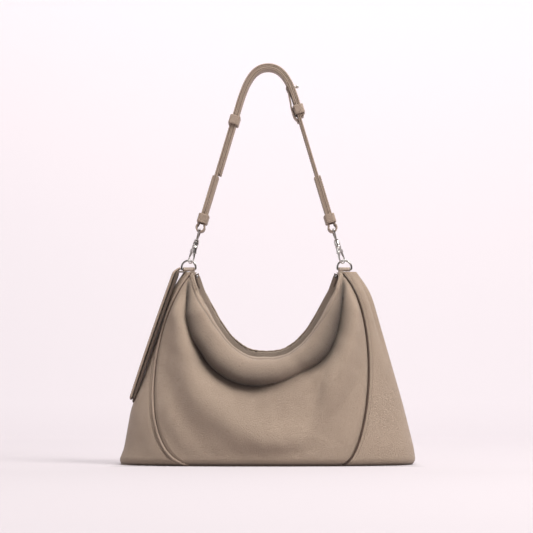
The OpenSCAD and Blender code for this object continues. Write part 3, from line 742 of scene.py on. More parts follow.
def line_below_rim(grid, normals, depth, distance):
    """The line a given distance below the rim, with its normals."""
    points, directions = [], []
    for column in range(grid.shape[1]):
        run = depth[::-1, column]
        points.append([np.interp(distance, run, grid[::-1, column, k]) for k in range(3)])
        directions.append([np.interp(distance, run, normals[::-1, column, k]) for k in range(3)])
    return np.array(points), unit(np.array(directions))


def panel(face):
    w = np.linspace(-1, 1, 281)
    us = mix(w, np.sin(w * math.pi / 2), 0.55)
    s = np.linspace(0, 1, 221)
    vs = mix(s, 1 - (1 - s) ** 1.7, 0.75)
    grid = panel_grid(face, us, vs)
    off_seam = seam_distance(grid)
    up = smooth(grid[..., 2] / 26)
    off_rim = below_rim(face, grid)
    grid, dark = slouched(face, grid, smooth(off_seam / 13) * up)
    normal = normals_of(grid, -face)
    below_top = smooth((240 - grid[..., 2]) / 44)
    puff = 2.0 * smooth(off_seam / 9) * np.sqrt(up) * below_top - 1.6 * bell(off_seam, 1.7)
    wrinkles = 0.35 * np.sin(grid[..., 0] * 0.21 + 2.2 * np.sin(grid[..., 2] * 0.043))
    wrinkles = wrinkles * np.sin(grid[..., 2] * 0.13 + 1.7 * np.sin(grid[..., 0] * 0.031))
    grid = grid + normal * (puff + wrinkles * smooth(off_seam / 20) * up)[..., None]
    grid = grid + normals_of(grid, -face) * rim_profile(off_rim)[..., None]
    # Painted shade: darker in the rim's stitching groove, along the seams and along the bottom edge.
    dark = np.maximum(dark, 0.62 * bell(off_rim - RIM_STITCH, 0.8))
    dark = np.maximum(dark, np.where(grid[..., 0] * face > 0, 0.85, 0.4) * bell(off_seam, 2.0))
    dark = np.maximum(dark, 0.9 * (1 - smooth((grid[..., 2] - 0.5) / 5)))
    name = "front" if face == FRONT else "back"
    piece = shell(name + "_panel_leather", grid, -face, LEATHER_T, [M["body"]])
    lip_rows = 6
    hollow = np.vstack([dark, np.repeat(dark[-1:], lip_rows, 0), dark[::-1]])
    note_points(piece, "hollow", hollow)
    stands_for(piece, name + "_panel")
    normal = normals_of(grid, -face)
    row = line_below_rim(grid, normal, off_rim, RIM_STITCH)
    keep = slice(6, -6)
    trims(stitches(name + "_rim_stitches", [(row[0][keep], row[1][keep])], [M["thread"]]),
          name + "_panel")
    return grid


# How far the left gusset stands out behind the tail: heights, and the distances there
LEFT_PUFF = ([0, 60, 90, 120, 150, 175, 205, 225, 240, 248],
             [-3.5, -1, 2.4, 3.6, 2.4, 1.0, -0.6, 0.8, 1.2, 0])


def puffed_gusset(side, us, vs):
    """A gusset's grid with its slight folds, its seams' grooves and its drawn-in lower corner."""
    grid = gusset_grid(side, us, vs)
    normal = normals_of(grid, side)
    u = np.broadcast_to(us, grid.shape[:2])
    off_seam = seam_distance(grid)
    z = grid[..., 2]
    up = smooth(z / 26) * smooth((APEX_Z - z) / 30)
    if side == LEFT:
        fold = np.interp(z, *LEFT_PUFF) * bell(u - 0.5, 0.3)
    else:
        fold = 2.0 * np.sin(math.pi * u) * np.ones_like(z)
    dent = -3.0 * bell(u - 0.28, 0.09) * smooth((z - 110) / 80)
    shape = (fold + dent * smooth(off_seam / 12)) * up + 0.9 * smooth(off_seam / 7) - 0.8 * bell(off_seam, 1.6)
    shape = shape - 0.45 * bell(off_seam - STITCH_IN, 0.7)
    grid = grid + normal * shape[..., None]
    grid[..., 0] -= side * (4.2 if side == LEFT else 2.4) * (1 - smooth(z / 90)) * smooth(off_seam / 40)
    return grid


def gusset(side):
    grid = puffed_gusset(side, np.linspace(0, 1, 121), np.linspace(0, 1, 181))
    name = "left_gusset" if side == LEFT else "right_gusset"
    piece = shell(name + "_leather", grid, side, LEATHER_T, [M["body"]])
    # Painted shade along the bottom edge.
    dark = 0.8 * (1 - smooth((grid[..., 2] - 0.5) / 4))
    note_points(piece, "hollow", np.vstack([dark, np.repeat(dark[-1:], 6, 0), dark[::-1]]))
    stands_for(piece, name)
    normal = normals_of(grid, side)
    rows = []
    for end in (0, 1):
        line, way = line_inside(grid, normal, STITCH_IN, 1, end)
        rows.append((line[8:-6], way[8:-6]))
    trims(stitches(name + "_stitches", rows, [M["dark_thread"]], radius=0.27), name)


def slouch_fade(grid):
    """How far a sheet follows the slouch: not at all on a seam or the floor, and fully away from both."""
    off_seam, off_floor = 13, 26
    return smooth(seam_distance(grid) / off_seam) * smooth(grid[..., 2] / off_floor)


def inner_sheets():
    """The facings, linings and zip tapes, each a thin sheet behind the outer leather."""
    for face, name in ((FRONT, "front"), (BACK, "back")):
        def sheet(piece_name, node, us, vs, layer, material, ripple=0.0, upright=False):
            full = panel_grid(face, np.concatenate([[-1], us, [1]]), vs)
            grid = slouched(face, full, slouch_fade(full))[0][:, 1:-1]
            if upright:
                hangs = (1 - smooth((below_rim(face, full)[:, 1:-1] - 10) / 6))
                grid[..., 1] = mix(grid[..., 1], full[-1:, 1:-1, 1] + face * layer[0], hangs)
            normal = normals_of(grid, -face)
            wave = ripple * np.sin(grid[..., 0] * 0.16) * np.sin(grid[..., 2] * 0.09 + 1)
            grid = grid - normal * (layer[0] + ripple + wave)[..., None]
            piece = shell(piece_name, grid, -face, layer[1] - layer[0], [material])
            stands_for(piece, node)
            return grid
        sheet(name + "_facing_leather", name + "_facing", np.linspace(-0.96, 0.96, 141),
              np.linspace(FACING_FROM, 1, 49), (2.5, 4.0), M["inside"], upright=True)
        sheet(name + "_lining_cloth", "lining_" + name, np.linspace(-0.98, 0.98, 121),
              np.linspace(LINING_FROM, LINING_TO, 61), (2.7, 3.4), M["cloth"], 0.5)
        sheet(name + "_zip_tape", "zip_tape_" + name, np.linspace(-0.88, 0.88, 141),
              np.linspace(*TAPE_SPAN, 9), (4.6, 5.4), M["tape"])
    for side, name in ((LEFT, "left"), (RIGHT, "right")):
        us = np.concatenate([[0], np.linspace(0.03, 0.97, 51), [1]])
        grid = puffed_gusset(side, us, np.linspace(LINING_FROM, 0.88, 71))[:, 1:-1]
        grid = grid - normals_of(grid, side) * 2.9
        stands_for(shell(name + "_lining_cloth", grid, side, 0.7, [M["cloth"]]), "lining_" + name)


def zip_teeth(name, line, radius, pitch, node):
    """A spiral zip coil along a line."""
    total = lengths(line)[-1]
    at = np.linspace(0, total, int(total / pitch * 8))
    points = resampled(line, at)
    a, b = frames_along(points)
    turn = at[:, None] * 2 * math.pi / pitch
    wire = radius * 0.32
    points = points + (radius - wire) * (np.cos(turn) * a + 0.8 * np.sin(turn) * b)
    stands_for(tube(name, points, wire, [M["coil"]], sides=6), node)


def mouth_zip():
    v = mix(TAPE_SPAN[0], TAPE_SPAN[1], 0.5)
    for face, name in ((FRONT, "front"), (BACK, "back")):
        grid = panel_grid(face, np.linspace(-1, 1, 183), np.array([v - 0.004, v, v + 0.004]))
        fade = slouch_fade(grid)
        grid = slouched(face, grid, fade)[0][:, 11:-11]
        line = (grid - normals_of(grid, -face) * COIL_DEPTH)[1]
        zip_teeth(name + "_zip_teeth", line, 1.1, 1.5, "zip_coil_" + name)


def piping():
    """The cord in each long seam; the front right one lies sunk and shows its painted edge."""
    v = np.linspace(0.012, 0.988, 140)
    for face, face_name in ((FRONT, "front"), (BACK, "back")):
        for side, side_name in ((LEFT, "left"), (RIGHT, "right")):
            x, z = seam(v, RIM_X[face], side)
            sunk = face == FRONT and side == RIGHT
            y = face * (depth_at(side * x, z) - (0.9 if sunk else -0.5))
            points = np.stack([side * x, y, z], 1)
            name = face_name + "_" + side_name + "_piping"
            kind = "paint" if sunk else "strap"
            radius = np.where((v < 0.03) | (v > 0.97), 1.0, 1.25 if sunk else 1.6)
            stands_for(tube(name + "_cord", points, radius, [M[kind]], sides=14), name)
            if not sunk:
                line = points + np.array([-side * 1.8, -face * 0.4, 0.2])
                trims(tube(name + "_edge", line, 0.8, [M["paint"]], sides=8), name)


def base():
    """The base panel with its turned edge, and the lining over the board."""
    a = np.radians(np.arange(0, 360, 3))
    for node, inset, low, thick, material in (
            ("base_panel", 6.8, 0.0, 2.0, "body"), ("lining_base", 10.0, 4.8, 0.8, "cloth")):
        x = (BASE_HALF_W - inset) * np.sign(np.cos(a)) * np.abs(np.cos(a)) ** (2 / SECTION_N)
        y = (BASE_HALF_D - inset) * np.sign(np.sin(a)) * np.abs(np.sin(a)) ** (2 / SECTION_N)
        rings = []
        for scale, z in ((0.02, 0), (0.3, 0), (0.6, 0), (0.85, 0), (0.985, 0), (0.997, 0.15), (1, 0.4),
                         (1, 0.6), (0.997, 0.85), (0.985, 1), (0.85, 1), (0.6, 1), (0.3, 1), (0.02, 1)):
            rings.append(np.stack([x * scale, y * scale, np.full_like(x, low + z * thick)], 1))
        rows, columns = len(rings), len(a)
        faces = ring_faces(rows, columns, False)
        faces += [list(range(columns))[::-1], [(rows - 1) * columns + k for k in range(columns)]]
        piece = put_mesh(node + "_sheet", np.vstack(rings), faces, [M[material]], 40)
        if material == "body":
            note_points(piece, "hollow", np.zeros(len(piece.data.vertices)))
        stands_for(piece, node)
    frame["nodes"]["base_board"].data.materials.clear()
    frame["nodes"]["base_board"].data.materials.append(M["board"])


# ---- The strap and its fittings ----

def joint_place(name):
    return np.array(JOINTS[name]["pos_m"]) / MM


RING_TOUCH = joint_place("handle_swing")
LEG = unit(JOINTS["left_hook_swivel"]["axis"])
LEG_ACROSS = np.array([LEG[2], 0, -LEG[0]])
LEAN_COS = LEG[2]
STRAP_W, STRAP_T, PAIR_GAP = 20.0, 4.0, 0.1
LEG_LEN, ARCH_PULL, CROWN_HALF, STRAP_TOP_Z = 214.0, 31.0, 20.0, 518.7
STRAP_END_S, INNER_END_S, OUTER_END_S = 56.0, 117.5, 197.0
PAIR_SHIFT = STRAP_T / 2 + PAIR_GAP
KEEPER_H, KEEPER_T, KEEPER_GAP = 12.0, 2.5, 0.35
LOOP_S, LOOP_IN, LOOP_T, LOOP_TOP_S = 45.0, 4.2, 2.0, 115.0
LOWER_KEEPER_S, LEFT_KEEPER_S, RIGHT_KEEPER_S = 57.0, 193.0, 206.5
STUD_T = 0.27
Y = np.array([0.0, 1.0, 0.0])


def on_leg(side, x, y, s):
    """A point in a leg's own frame: x towards the middle of the arch, s along the leg."""
    point = RING_TOUCH + LEG_ACROSS * x + Y * y + LEG * s
    return point * np.array([-side, 1, 1])


def leg_point(s):
    return RING_TOUCH + LEG * s


def arch_point(t):
    start = leg_point(LEG_LEN)
    return bezier(start, start + LEG * ARCH_PULL, np.array([-CROWN_HALF, 0, STRAP_TOP_Z]),
                  np.array([0, 0, STRAP_TOP_Z]), t)


def strap_line(left_s, right_s):
    """The middle line between the two straps, as in the CAD model, but finely divided."""
    half = np.array([arch_point(t) for t in np.linspace(0, 1, 40)])
    left = np.array([leg_point(s) for s in np.linspace(left_s, LEG_LEN, 24)[:-1]])
    right = np.array([leg_point(s) for s in np.linspace(right_s, LEG_LEN, 24)[:-1]])
    flip = np.array([-1, 1, 1])
    line = np.vstack([left, half, (half[:-1] * flip)[::-1], (right * flip)[::-1]])
    return line + np.array([PAIR_SHIFT / LEAN_COS, 0, 0])


def outward_of(line):
    """Directions to the left of an (x, z) line, which is outwards on the arch."""
    along = unit(np.gradient(line, axis=0))
    return np.stack([-along[:, 2], np.zeros(len(line)), along[:, 0]], 1)


def strap_profile(low, high, half_width):
    """One strap's section: rounded, with a fine groove along each narrow edge."""
    mid, r, notch = (low + high) / 2, 0.9, 0.32
    half = []
    for centre, angles in (((high - r, half_width - r), (0, 90)),
                           ((low + r, half_width - r), (90, 180))):
        half.append(arc(centre, r, *angles, 5))
    top = np.vstack([half[0], [[mid + notch, half_width], [mid, half_width - 0.45],
                               [mid - notch, half_width]],
                     half[1]])
    return np.vstack([top, top[::-1] * [1, -1]])


def straps():
    rows = []
    for name, ends, layer, outer in (
            ("outer_strap", (STRAP_END_S, OUTER_END_S), (PAIR_GAP, PAIR_GAP + STRAP_T), 1),
            ("inner_strap", (INNER_END_S, STRAP_END_S), (-PAIR_GAP - STRAP_T, -PAIR_GAP), -1)):
        line = strap_line(*ends)
        away = outward_of(line)
        profile = strap_profile(layer[0], layer[1], STRAP_W / 2)
        mean = profile.mean(0) * [1, 0]
        scales = np.ones(len(line))
        scales[[0, -1]] = 0.9
        piece = sweep(name + "_leather", line + away * mean[0], away, Y, profile - mean,
                      [M["strap"], M["paint"]], smooth_angle=40, scales=scales)
        count = len(profile)
        paint_grooves(piece, count)
        stands_for(piece, name)
        face = layer[1] if outer > 0 else layer[0]
        for y in (-STRAP_W / 2 + 2.4, STRAP_W / 2 - 2.4):
            rows.append((line + away * face + Y * y, away * outer))
    trims(stitches("strap_stitches", rows, [M["thread"]], pitch=3.2, length=2.2), "outer_strap")


def paint_grooves(piece, count):
    """Both narrow edges carry the painted groove."""
    grooves = ({5, 6}, {6, 7}, {count - 1 - 5, count - 1 - 6}, {count - 1 - 6, count - 1 - 7})
    index = []
    for polygon in piece.data.polygons:
        ks = {v % count for v in polygon.vertices}
        index.append(1 if len(polygon.vertices) == 4 and ks in grooves else 0)
    piece.data.polygons.foreach_set("material_index", index)


def end_loop(side, name):
    """A leather loop folded round the swivel eye, with both ends up the leg."""
    r = LOOP_IN + LOOP_T / 2
    flat_x = STRAP_T / 2 + PAIR_GAP + LOOP_T / 2
    right_half = [(flat_x, LOOP_TOP_S), (flat_x, 100), (flat_x, 85), (flat_x, 70),
                  (flat_x, LOWER_KEEPER_S + 6),
                  (flat_x + 0.3, LOWER_KEEPER_S - 2)]
    bow = arc((0, LOOP_S), r, 38, -90, 12)
    half = np.vstack([right_half, bow])
    path = np.vstack([half, half[::-1][1:] * [-1, 1]])
    path = spline(path, 4)
    points = np.array([on_leg(side, x, 0, s) for x, s in path])
    along = unit(np.gradient(points, axis=0))
    away = np.cross(Y, along) * side
    profile = rounded_box(LOOP_T / 2, STRAP_W / 2, 0.7)
    piece = sweep(name + "_leather", points, away, Y, profile, [M["strap"]], smooth_angle=40)
    stands_for(piece, name)
    rows = []
    upper = [i for i, (x, s) in enumerate(path) if s > LOWER_KEEPER_S + 8]
    for group in (upper[:len(upper) // 2], upper[len(upper) // 2:]):
        out = np.sign(np.sum((points[group[1]] - on_leg(side, 0, 0, path[group[1]][1])) * away[group[1]]))
        for y in (-STRAP_W / 2 + 2.2, STRAP_W / 2 - 2.2):
            rows.append((points[group] + away[group] * (out * LOOP_T / 2) + Y * y, away[group] * out))
    trims(stitches(name + "_stitches", rows, [M["thread"]], pitch=3.2, length=2.2), name)


def keeper(side, name, s, half_thick, x):
    """A flat leather ring round the strap, stitched along both edges."""
    a, b = half_thick + KEEPER_GAP + KEEPER_T / 2, STRAP_W / 2 + KEEPER_GAP + KEEPER_T / 2
    loop = rounded_box(a, b, 2.4, 8)
    loop = np.vstack([loop, loop[:1]])
    loop = resampled(loop, np.linspace(0, lengths(loop)[-1], 97))[:-1]
    points = np.array([on_leg(side, x + p[0], p[1], s) for p in loop])
    up = on_leg(side, 0, 0, 1) - on_leg(side, 0, 0, 0)
    centre = on_leg(side, x, 0, s)
    along = unit(np.roll(points, -1, 0) - np.roll(points, 1, 0))
    away = unit(np.cross(along, up))
    away = away * np.sign(np.sum(away * (points - centre), 1))[:, None]
    profile = rounded_box(KEEPER_T / 2 - 0.1, KEEPER_H / 2, 1.0)
    piece = sweep(name + "_leather", points, away, up, profile, [M["strap"]], closed=True)
    stands_for(piece, name)
    rows = []
    for height in (-KEEPER_H / 2 + 2, KEEPER_H / 2 - 2):
        rows.append((points + up * height + away * (KEEPER_T / 2 - 0.12), away))
    trims(stitches(name + "_stitches", rows, [M["thread"]], pitch=2.6, length=1.8, radius=0.24), name)


def keepers():
    under_loop = STRAP_T / 2 + PAIR_GAP + LOOP_T
    pair = STRAP_T + PAIR_GAP
    keeper(LEFT, "left_lower_keeper", LOWER_KEEPER_S, under_loop, 0)
    keeper(RIGHT, "right_lower_keeper", LOWER_KEEPER_S, under_loop, 0)
    keeper(LEFT, "left_upper_keeper", LEFT_KEEPER_S, pair, PAIR_SHIFT)
    keeper(RIGHT, "right_upper_keeper", RIGHT_KEEPER_S, pair, -PAIR_SHIFT)


TAB_REST, TAB_T = 0.2, 1.8


def keeper_tab():
    """The strip that bows round the right upper keeper, on the inner face of the straps."""
    rest = STRAP_T + PAIR_GAP + TAB_REST
    bow = STRAP_T + PAIR_GAP + KEEPER_GAP + KEEPER_T + 0.4
    low, high = RIGHT_KEEPER_S - KEEPER_H / 2, RIGHT_KEEPER_S + KEEPER_H / 2
    route = [(low - 10, rest), (low - 6, rest + 0.6), (low - 1, bow), (high + 1, bow),
             (high + 4, bow - 0.6)]
    legs = [leg_point(s) + LEG_ACROSS * (x - PAIR_SHIFT) for s, x in route]
    half = np.array([arch_point(t) for t in np.linspace(0, 1, 13)])
    way = outward_of(half)
    arch = [half[i] + np.array([-PAIR_SHIFT / LEAN_COS, 0, 0]) - way[i] * (rest + (1 if i == 2 else 0))
            for i in (2, 3, 4)]
    line = spline(np.array(legs + arch), 8)
    away = outward_of(line)
    points = (line - away * TAB_T / 2) * np.array([-1, 1, 1])
    away = away * np.array([-1, 1, 1])
    profile = rounded_box(0.85, STRAP_W / 2 - 2, 0.6)
    stands_for(sweep("keeper_tab_leather", points, away, Y, profile, [M["strap"]], smooth_angle=40),
               "keeper_tab")


def stud():
    here = arch_point(STUD_T)
    along = unit(arch_point(STUD_T + 0.002) - here)
    origin = np.array([PAIR_SHIFT / LEAN_COS - here[0], 0, here[2]])
    axis = np.array([along[2], 0, along[0]])
    outside = PAIR_GAP + STRAP_T + 0.2
    ball = [(outside + 3.8 + 2.4 * math.sin(math.radians(a)), 2.4 * math.cos(math.radians(a)))
            for a in range(-50, 90, 8)]
    profile = [(0.3, 0.3), (0.3, 1.5), (outside, 1.5), (outside, 2.6), (outside + 0.15, 2.8),
               (outside + 0.55, 2.8), (outside + 0.7, 2.5),
               (outside + 0.7, 1.5)] + ball + [(outside + 6.2, 0.05)]
    stands_for(lathe("strap_stud_ball", origin, axis, profile, [M["nickel"]]), "strap_stud")
    inside = -PAIR_GAP - STRAP_T - TAB_REST - TAB_T - 0.3
    head = [(inside - 0.8, 0.05), (inside - 0.8, 2.6), (inside - 0.65, 2.9), (inside - 0.1, 3.0),
            (inside, 2.9),
            (inside, 1.5), (0, 1.5), (0, 0.05)]
    stands_for(lathe("stud_screw_head", origin, axis, head, [M["nickel"]]), "stud_screw")


# ---- Rings, hooks and eyes ----

RING_R, RING_WIRE = 9.2, 1.25
HOOK_TWIST = math.radians(34)
JAW_S, JAW_IN, JAW_OUT, JAW_T = 2.7, 5.2, 6.8, 2.2
GATE_PIVOT = (3.1, 14.2)


def ring(name):
    bar = joint_place(name + "_swing")
    arc_z = bar[2] + 2.5
    top = arc((0, arc_z), RING_R, 0, 180, 40)
    corner = 1.6
    low = [(-RING_R, arc_z - 0.6), (-RING_R + 0.1, bar[2] + corner * 0.5),
           (-RING_R + corner * 0.6, bar[2]),
           (-RING_R + 3, bar[2] - 0.02)]
    low = low + [(-x, z) for x, z in low[::-1]]
    flat = np.vstack([top, low])
    flat = np.vstack([flat, flat[:1]])
    flat = resampled(flat, np.linspace(0, lengths(flat)[-1], 121))[:-1]
    points = np.stack([bar[0] + flat[:, 0], np.zeros(len(flat)), flat[:, 1]], 1)
    stands_for(tube(name + "_wire", points, RING_WIRE, [M["gunmetal"]], sides=20, closed=True), name)


def in_jaw(side):
    """Places the flat (across, along, through) of a hook's jaw on its leg."""
    def place(across, along, through=0.0):
        x = -across * math.sin(HOOK_TWIST) + through * math.cos(HOOK_TWIST)
        y = across * math.cos(HOOK_TWIST) + through * math.sin(HOOK_TWIST)
        return on_leg(side, x, y, along)
    return place


def hook(side, name):
    """The cast hook: a slim round jaw that swells into a thick shank and a turned barrel."""
    outer = arc((0, JAW_S), JAW_OUT, 24, -188, 48)
    body = [(-6.5, 6.5), (-5.3, 11.5), (-3.9, 16), (-3.4, 18.6), (3.4, 18.6), (4.5, 15.4), (5.8, 12.2)]
    inner = arc((0, JAW_S), JAW_IN, 108, 382, 44)
    mouth = [(2.2, 11.9), (-0.6, 10.9), (-1.5, 9.6)]
    outline = np.vstack([outer, body, mouth, inner])
    stands_for(plate(name + "_body", [outline], JAW_T, 0.85, in_jaw(side), [M["nickel"]]), name)
    shank = rounded([(-6.0, 10.3), (-4.6, 14.5), (-3.8, 18.8), (3.8, 18.8), (5.0, 15), (5.9, 11.6),
                     (1.8, 12.2),
                     (-1.4, 10.6)], 0.8)
    trims(plate(name + "_shank", [shank], 4.4, 1.4, in_jaw(side), [M["nickel"]]), name)
    origin = on_leg(side, 0, 0, 0)
    leg = on_leg(side, 0, 0, 1) - origin
    barrel = [(17.2, 2.2), (17.5, 3.2), (18.2, 3.8), (19.6, 3.95), (20.4, 3.5), (21, 3.45),
              (21.6, 3.9), (24.4, 3.9),
              (25.2, 3.4), (25.8, 3.4), (26.3, 3.8), (26.9, 3.7), (27.2, 3.0), (27.2, 1.65)]
    trims(lathe(name + "_barrel", origin, leg, barrel, [M["nickel"]]), name)


def gate(side, name):
    outline = rounded([(4.9, 5.2), (6.8, 5.2), (6.3, 11), (8.0, 11.8), (8.3, 13.2), (4.4, 16.2),
                       (1.9, 15.5),
                       (1.5, 13)], 0.8)
    stands_for(plate(name + "_lever", [outline], 1.8, 0.5, in_jaw(side), [M["gunmetal"]]), name)


def gate_fittings(side, name):
    place = in_jaw(side)
    through = unit(place(0, 0, 1) - place(0, 0, 0))
    centre = place(*GATE_PIVOT)
    pin = [(-2.95, 0.05), (-2.95, 0.6), (-2.8, 0.85), (-2.6, 0.8), (2.6, 0.8), (2.8, 0.85),
           (2.95, 0.6), (2.95, 0.05)]
    stands_for(lathe(name + "_rivet", centre, through, pin, [M["steel"]], 24), name + "_pin")
    turns = np.radians(np.arange(0, 720, 15))
    line = [place(GATE_PIVOT[0] + 1.2 * math.cos(a), GATE_PIVOT[1] + 1.2 * math.sin(a),
                  0.66 + 0.02 * a) for a in turns]
    stands_for(tube(name + "_coil", line, 0.14, [M["steel"]], sides=8), name + "_spring")


def swivel_eye(side, name):
    half_w_eye, bend_s, bar_s, yoke_s = 11.5, 36.5, 42.1, 28.6
    side_line = [(1.0, yoke_s), (3.4, yoke_s + 0.9), (8.2, 33.2), (10.8, 35.6),
                 (half_w_eye, bend_s + 2),
                 (half_w_eye, 40.6), (10.9, bar_s - 0.1), (9.6, bar_s), (4, bar_s)]
    line = np.vstack([[(-y, s) for y, s in side_line[::-1]], side_line])
    line = spline(line, 8)
    line = line[:-1]
    points = np.array([on_leg(side, 0, y, s) for y, s in line])
    stands_for(tube(name + "_wire", points, 1.25, [M["gunmetal"]], sides=18, closed=True), name)
    origin = on_leg(side, 0, 0, 0)
    leg = on_leg(side, 0, 0, 1) - origin
    post = [(20.2, 0.1), (20.2, 2.2), (21.4, 2.2), (21.5, 1.6), (27.3, 1.6), (27.4, 2.6), (27.7, 3.0),
            (28.6, 3.0),
            (29.3, 2.5), (29.9, 1.2), (30, 0.1)]
    trims(lathe(name + "_post", origin, leg, post, [M["nickel"]]), name)


def folded_tab(name, x, width, drop, thin, material):
    """A strip of leather folded over a ring's bar, hanging down both of its sides."""
    t = 1.4
    bar_z = joint_place("left_ring_swing")[2]
    r = RING_WIRE + 0.3 + t / 2
    over = arc((0, bar_z), r, 0, 180, 21)
    down = [(r, bar_z - drop), (r, bar_z - drop / 2)]
    flat = np.vstack([down, over, [(-y, z) for y, z in down[::-1]]])
    points = np.stack([np.full(len(flat), x), flat[:, 0], flat[:, 1]], 1)
    along = unit(np.gradient(points, axis=0))
    across = np.array([1.0, 0, 0])
    profile = rounded_box(t / 2 - thin, width / 2, 0.5)
    return sweep(name, points, np.cross(across, along), across, profile, [material], smooth_angle=40)


def ring_tab(side, name):
    """A wide leather fold over the ring's bar, edged in brown, and its stem down into the corner."""
    x = side * 101.5
    stands_for(folded_tab(name + "_head", x, 13.7, 1.5, 0, M["inside"]), name)
    trims(folded_tab(name + "_stem", side * 96.5, 6.0, 22.0, 0.12, M["inside"]), name)
    bar_z = joint_place("left_ring_swing")[2]
    r = RING_WIRE + 0.3 + 0.7
    over = arc((0, bar_z), r, 0, 180, 21)
    flat = np.vstack([[(r, bar_z - 1.5)], over, [(-r, bar_z - 1.5)]])
    for label, way in (("_left_edge", -1), ("_right_edge", 1)):
        line = np.stack([np.full(len(flat), x + way * 6.75), flat[:, 0], flat[:, 1]], 1)
        trims(tube(name + label, line, 0.72, [M["paint"]], sides=10), name)
    for label, y in (("_front_edge", -r), ("_back_edge", r)):
        line = np.array([(x - 6.75, y, bar_z - 1.5), (x, y, bar_z - 1.5), (x + 6.75, y, bar_z - 1.5)])
        trims(tube(name + label, line, 0.72, [M["paint"]], sides=10), name)


def rivet(side, name):
    x, z = -90.6, 243.5
    origin = np.array([-side * x, float(depth_at(x, z)), z])
    stations = [(-0.9, 0.05), (-0.9, 1.3), (-0.6, 1.6), (-0.1, 1.6), (-0.1, 0.85), (4.3, 0.85),
                (4.3, 1.3),
                (4.7, 1.3), (5.0, 1.0), (5.2, 0.4), (5.25, 0.05)]
    stands_for(lathe(name + "_cap", origin, np.array([0, -1.0, 0]), stations, [M["steel"]], 28), name)


# ---- The zip tail ----

TAIL_ROOT = joint_place("zip_tail_swing")
TAIL_UP = unit(JOINTS["zip_slider_travel"]["axis"])
TAIL_ACROSS = np.array([TAIL_UP[2], 0, -TAIL_UP[0]])
TAIL_LEN, TAIL_W, PLY_T, PLY_GAP = 176.0, 26.0, 3.0, 1.2
TAIL_COIL_Y, SLIDER_LOW, SLIDER_LEN = 15.6, -148.0, 11.0


def on_tail(x, y, z):
    return TAIL_ROOT + TAIL_ACROSS * x + Y * y + TAIL_UP * z


def tail_ply(name, middle, bow, material):
    """One ply of the tail: a strip that bends in under the ring's cap, with a slanted tip."""
    z = np.concatenate([np.linspace(-3, -TAIL_LEN + 6, 60),
                        -TAIL_LEN + 6 - np.sin(np.linspace(0.15, 1.5, 8)) * 6])
    bend = bow * np.sin(np.clip(-z / TAIL_LEN, 0, 1) * math.pi)
    tip = np.clip((-z - (TAIL_LEN - 6)) / 6, 0, 1)
    hanging = np.array([on_tail(middle + b, 0, s - 0.55 * middle * k) for b, s, k in zip(bend, z, tip)])
    top = on_tail(middle, 0, 0)
    cap = np.array([-113.2, 0, 252.2]) + np.array([0.5, 0, 0.75]) * -middle
    turn = np.linspace(0, 1, 9)[:-1, None]
    over = (1 - turn) ** 2 * cap + 2 * turn * (1 - turn) * (top + TAIL_UP * 1.2) + turn ** 2 * hanging[0]
    points = np.vstack([over, hanging])
    away = np.cross(Y, unit(np.gradient(points, axis=0)))
    away = away * np.sign(away @ TAIL_ACROSS)[:, None]
    scales = np.concatenate([np.linspace(0.62, 1, 8),
                             np.clip(np.sqrt(np.maximum(0.02, 1 - tip ** 2)), 0.35, 1)])
    profile = rounded_box(PLY_T / 2, TAIL_W / 2, 1.2, 7)
    piece = sweep(name + "_leather", points, away, Y, profile, [material], smooth_angle=50,
                  scales=scales)
    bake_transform(piece)
    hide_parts(name)
    return hanging[:-8]


def tail():
    half = PLY_GAP / 2 + PLY_T / 2
    outer = tail_ply("tail_outer_ply", -half, -1.0, M["strap"])
    # The inner ply takes the near-black leather, painted shade for the gap beside the gusset.
    inner = tail_ply("tail_inner_ply", half, -0.4, M["shaded_suede"])
    rows = []
    for line, way in ((outer, -1), (inner, 1)):
        for y in (-TAIL_W / 2 + 2.6, TAIL_W / 2 - 2.6):
            face = line + TAIL_ACROSS * way * PLY_T / 2 + Y * y
            rows.append((face, np.broadcast_to(TAIL_ACROSS * way, face.shape)))
    trims(stitches("tail_stitches", rows, [M["thread"]], pitch=3.2), "tail_outer_ply")
    low, high = -TAIL_LEN + 4, -2.0
    tape = sweep("tail_zip_tape", [on_tail(0, (TAIL_COIL_Y - 8) / 2, s) for s in np.linspace(high,
                                                                                             low, 40)],
                 TAIL_ACROSS, Y, rounded_box(0.42, (TAIL_COIL_Y + 8) / 2, 0.3), [M["tape"]])
    trims(tape, "tail_zip")
    line = np.array([on_tail(0, TAIL_COIL_Y, s) for s in np.linspace(high, low, 40)])
    zip_teeth("tail_zip_teeth", line, 1.2, 1.6, "tail_zip")


def zip_slider():
    """The slider: two plates joined at the back, with a bail for the pull."""
    near, far = TAIL_W / 2 + 0.5, TAIL_W / 2 + 6.4
    wedge = rounded([(-4, 0), (4, 0), (4.4, 6.5), (3, SLIDER_LEN), (-3, SLIDER_LEN), (-4.4, 6.5)], 1.6)
    for label, y in (("", far - 1.0), ("_inner", near + 0.8)):
        def place(across, along, through, y=y):
            return on_tail(across, y + through, SLIDER_LOW + along)
        piece = plate("zip_slider_plate" + label, [wedge], 1.5, 0.5, place, [M["nickel"]])
        if label:
            trims(piece, "zip_slider")
        else:
            stands_for(piece, "zip_slider")
    for x in (-3.1, 3.1):
        post = [(0, 0.05), (0, 0.8), (far - near - 1, 0.8), (far - near - 1, 0.05)]
        trims(lathe("zip_slider_post_" + ("l" if x < 0 else "r"),
                    on_tail(x, near + 0.6, SLIDER_LOW + 6), Y, post,
                    [M["nickel"]], 20), "zip_slider")
    middle = SLIDER_LOW + SLIDER_LEN / 2
    bail = [on_tail(0, far - 0.4 + 4.4 * math.sin(a),
                    middle - 4 * math.cos(a)) for a in np.linspace(0, math.pi, 24)]
    trims(tube("zip_slider_bail", bail, 0.6, [M["nickel"]], sides=14), "zip_slider")


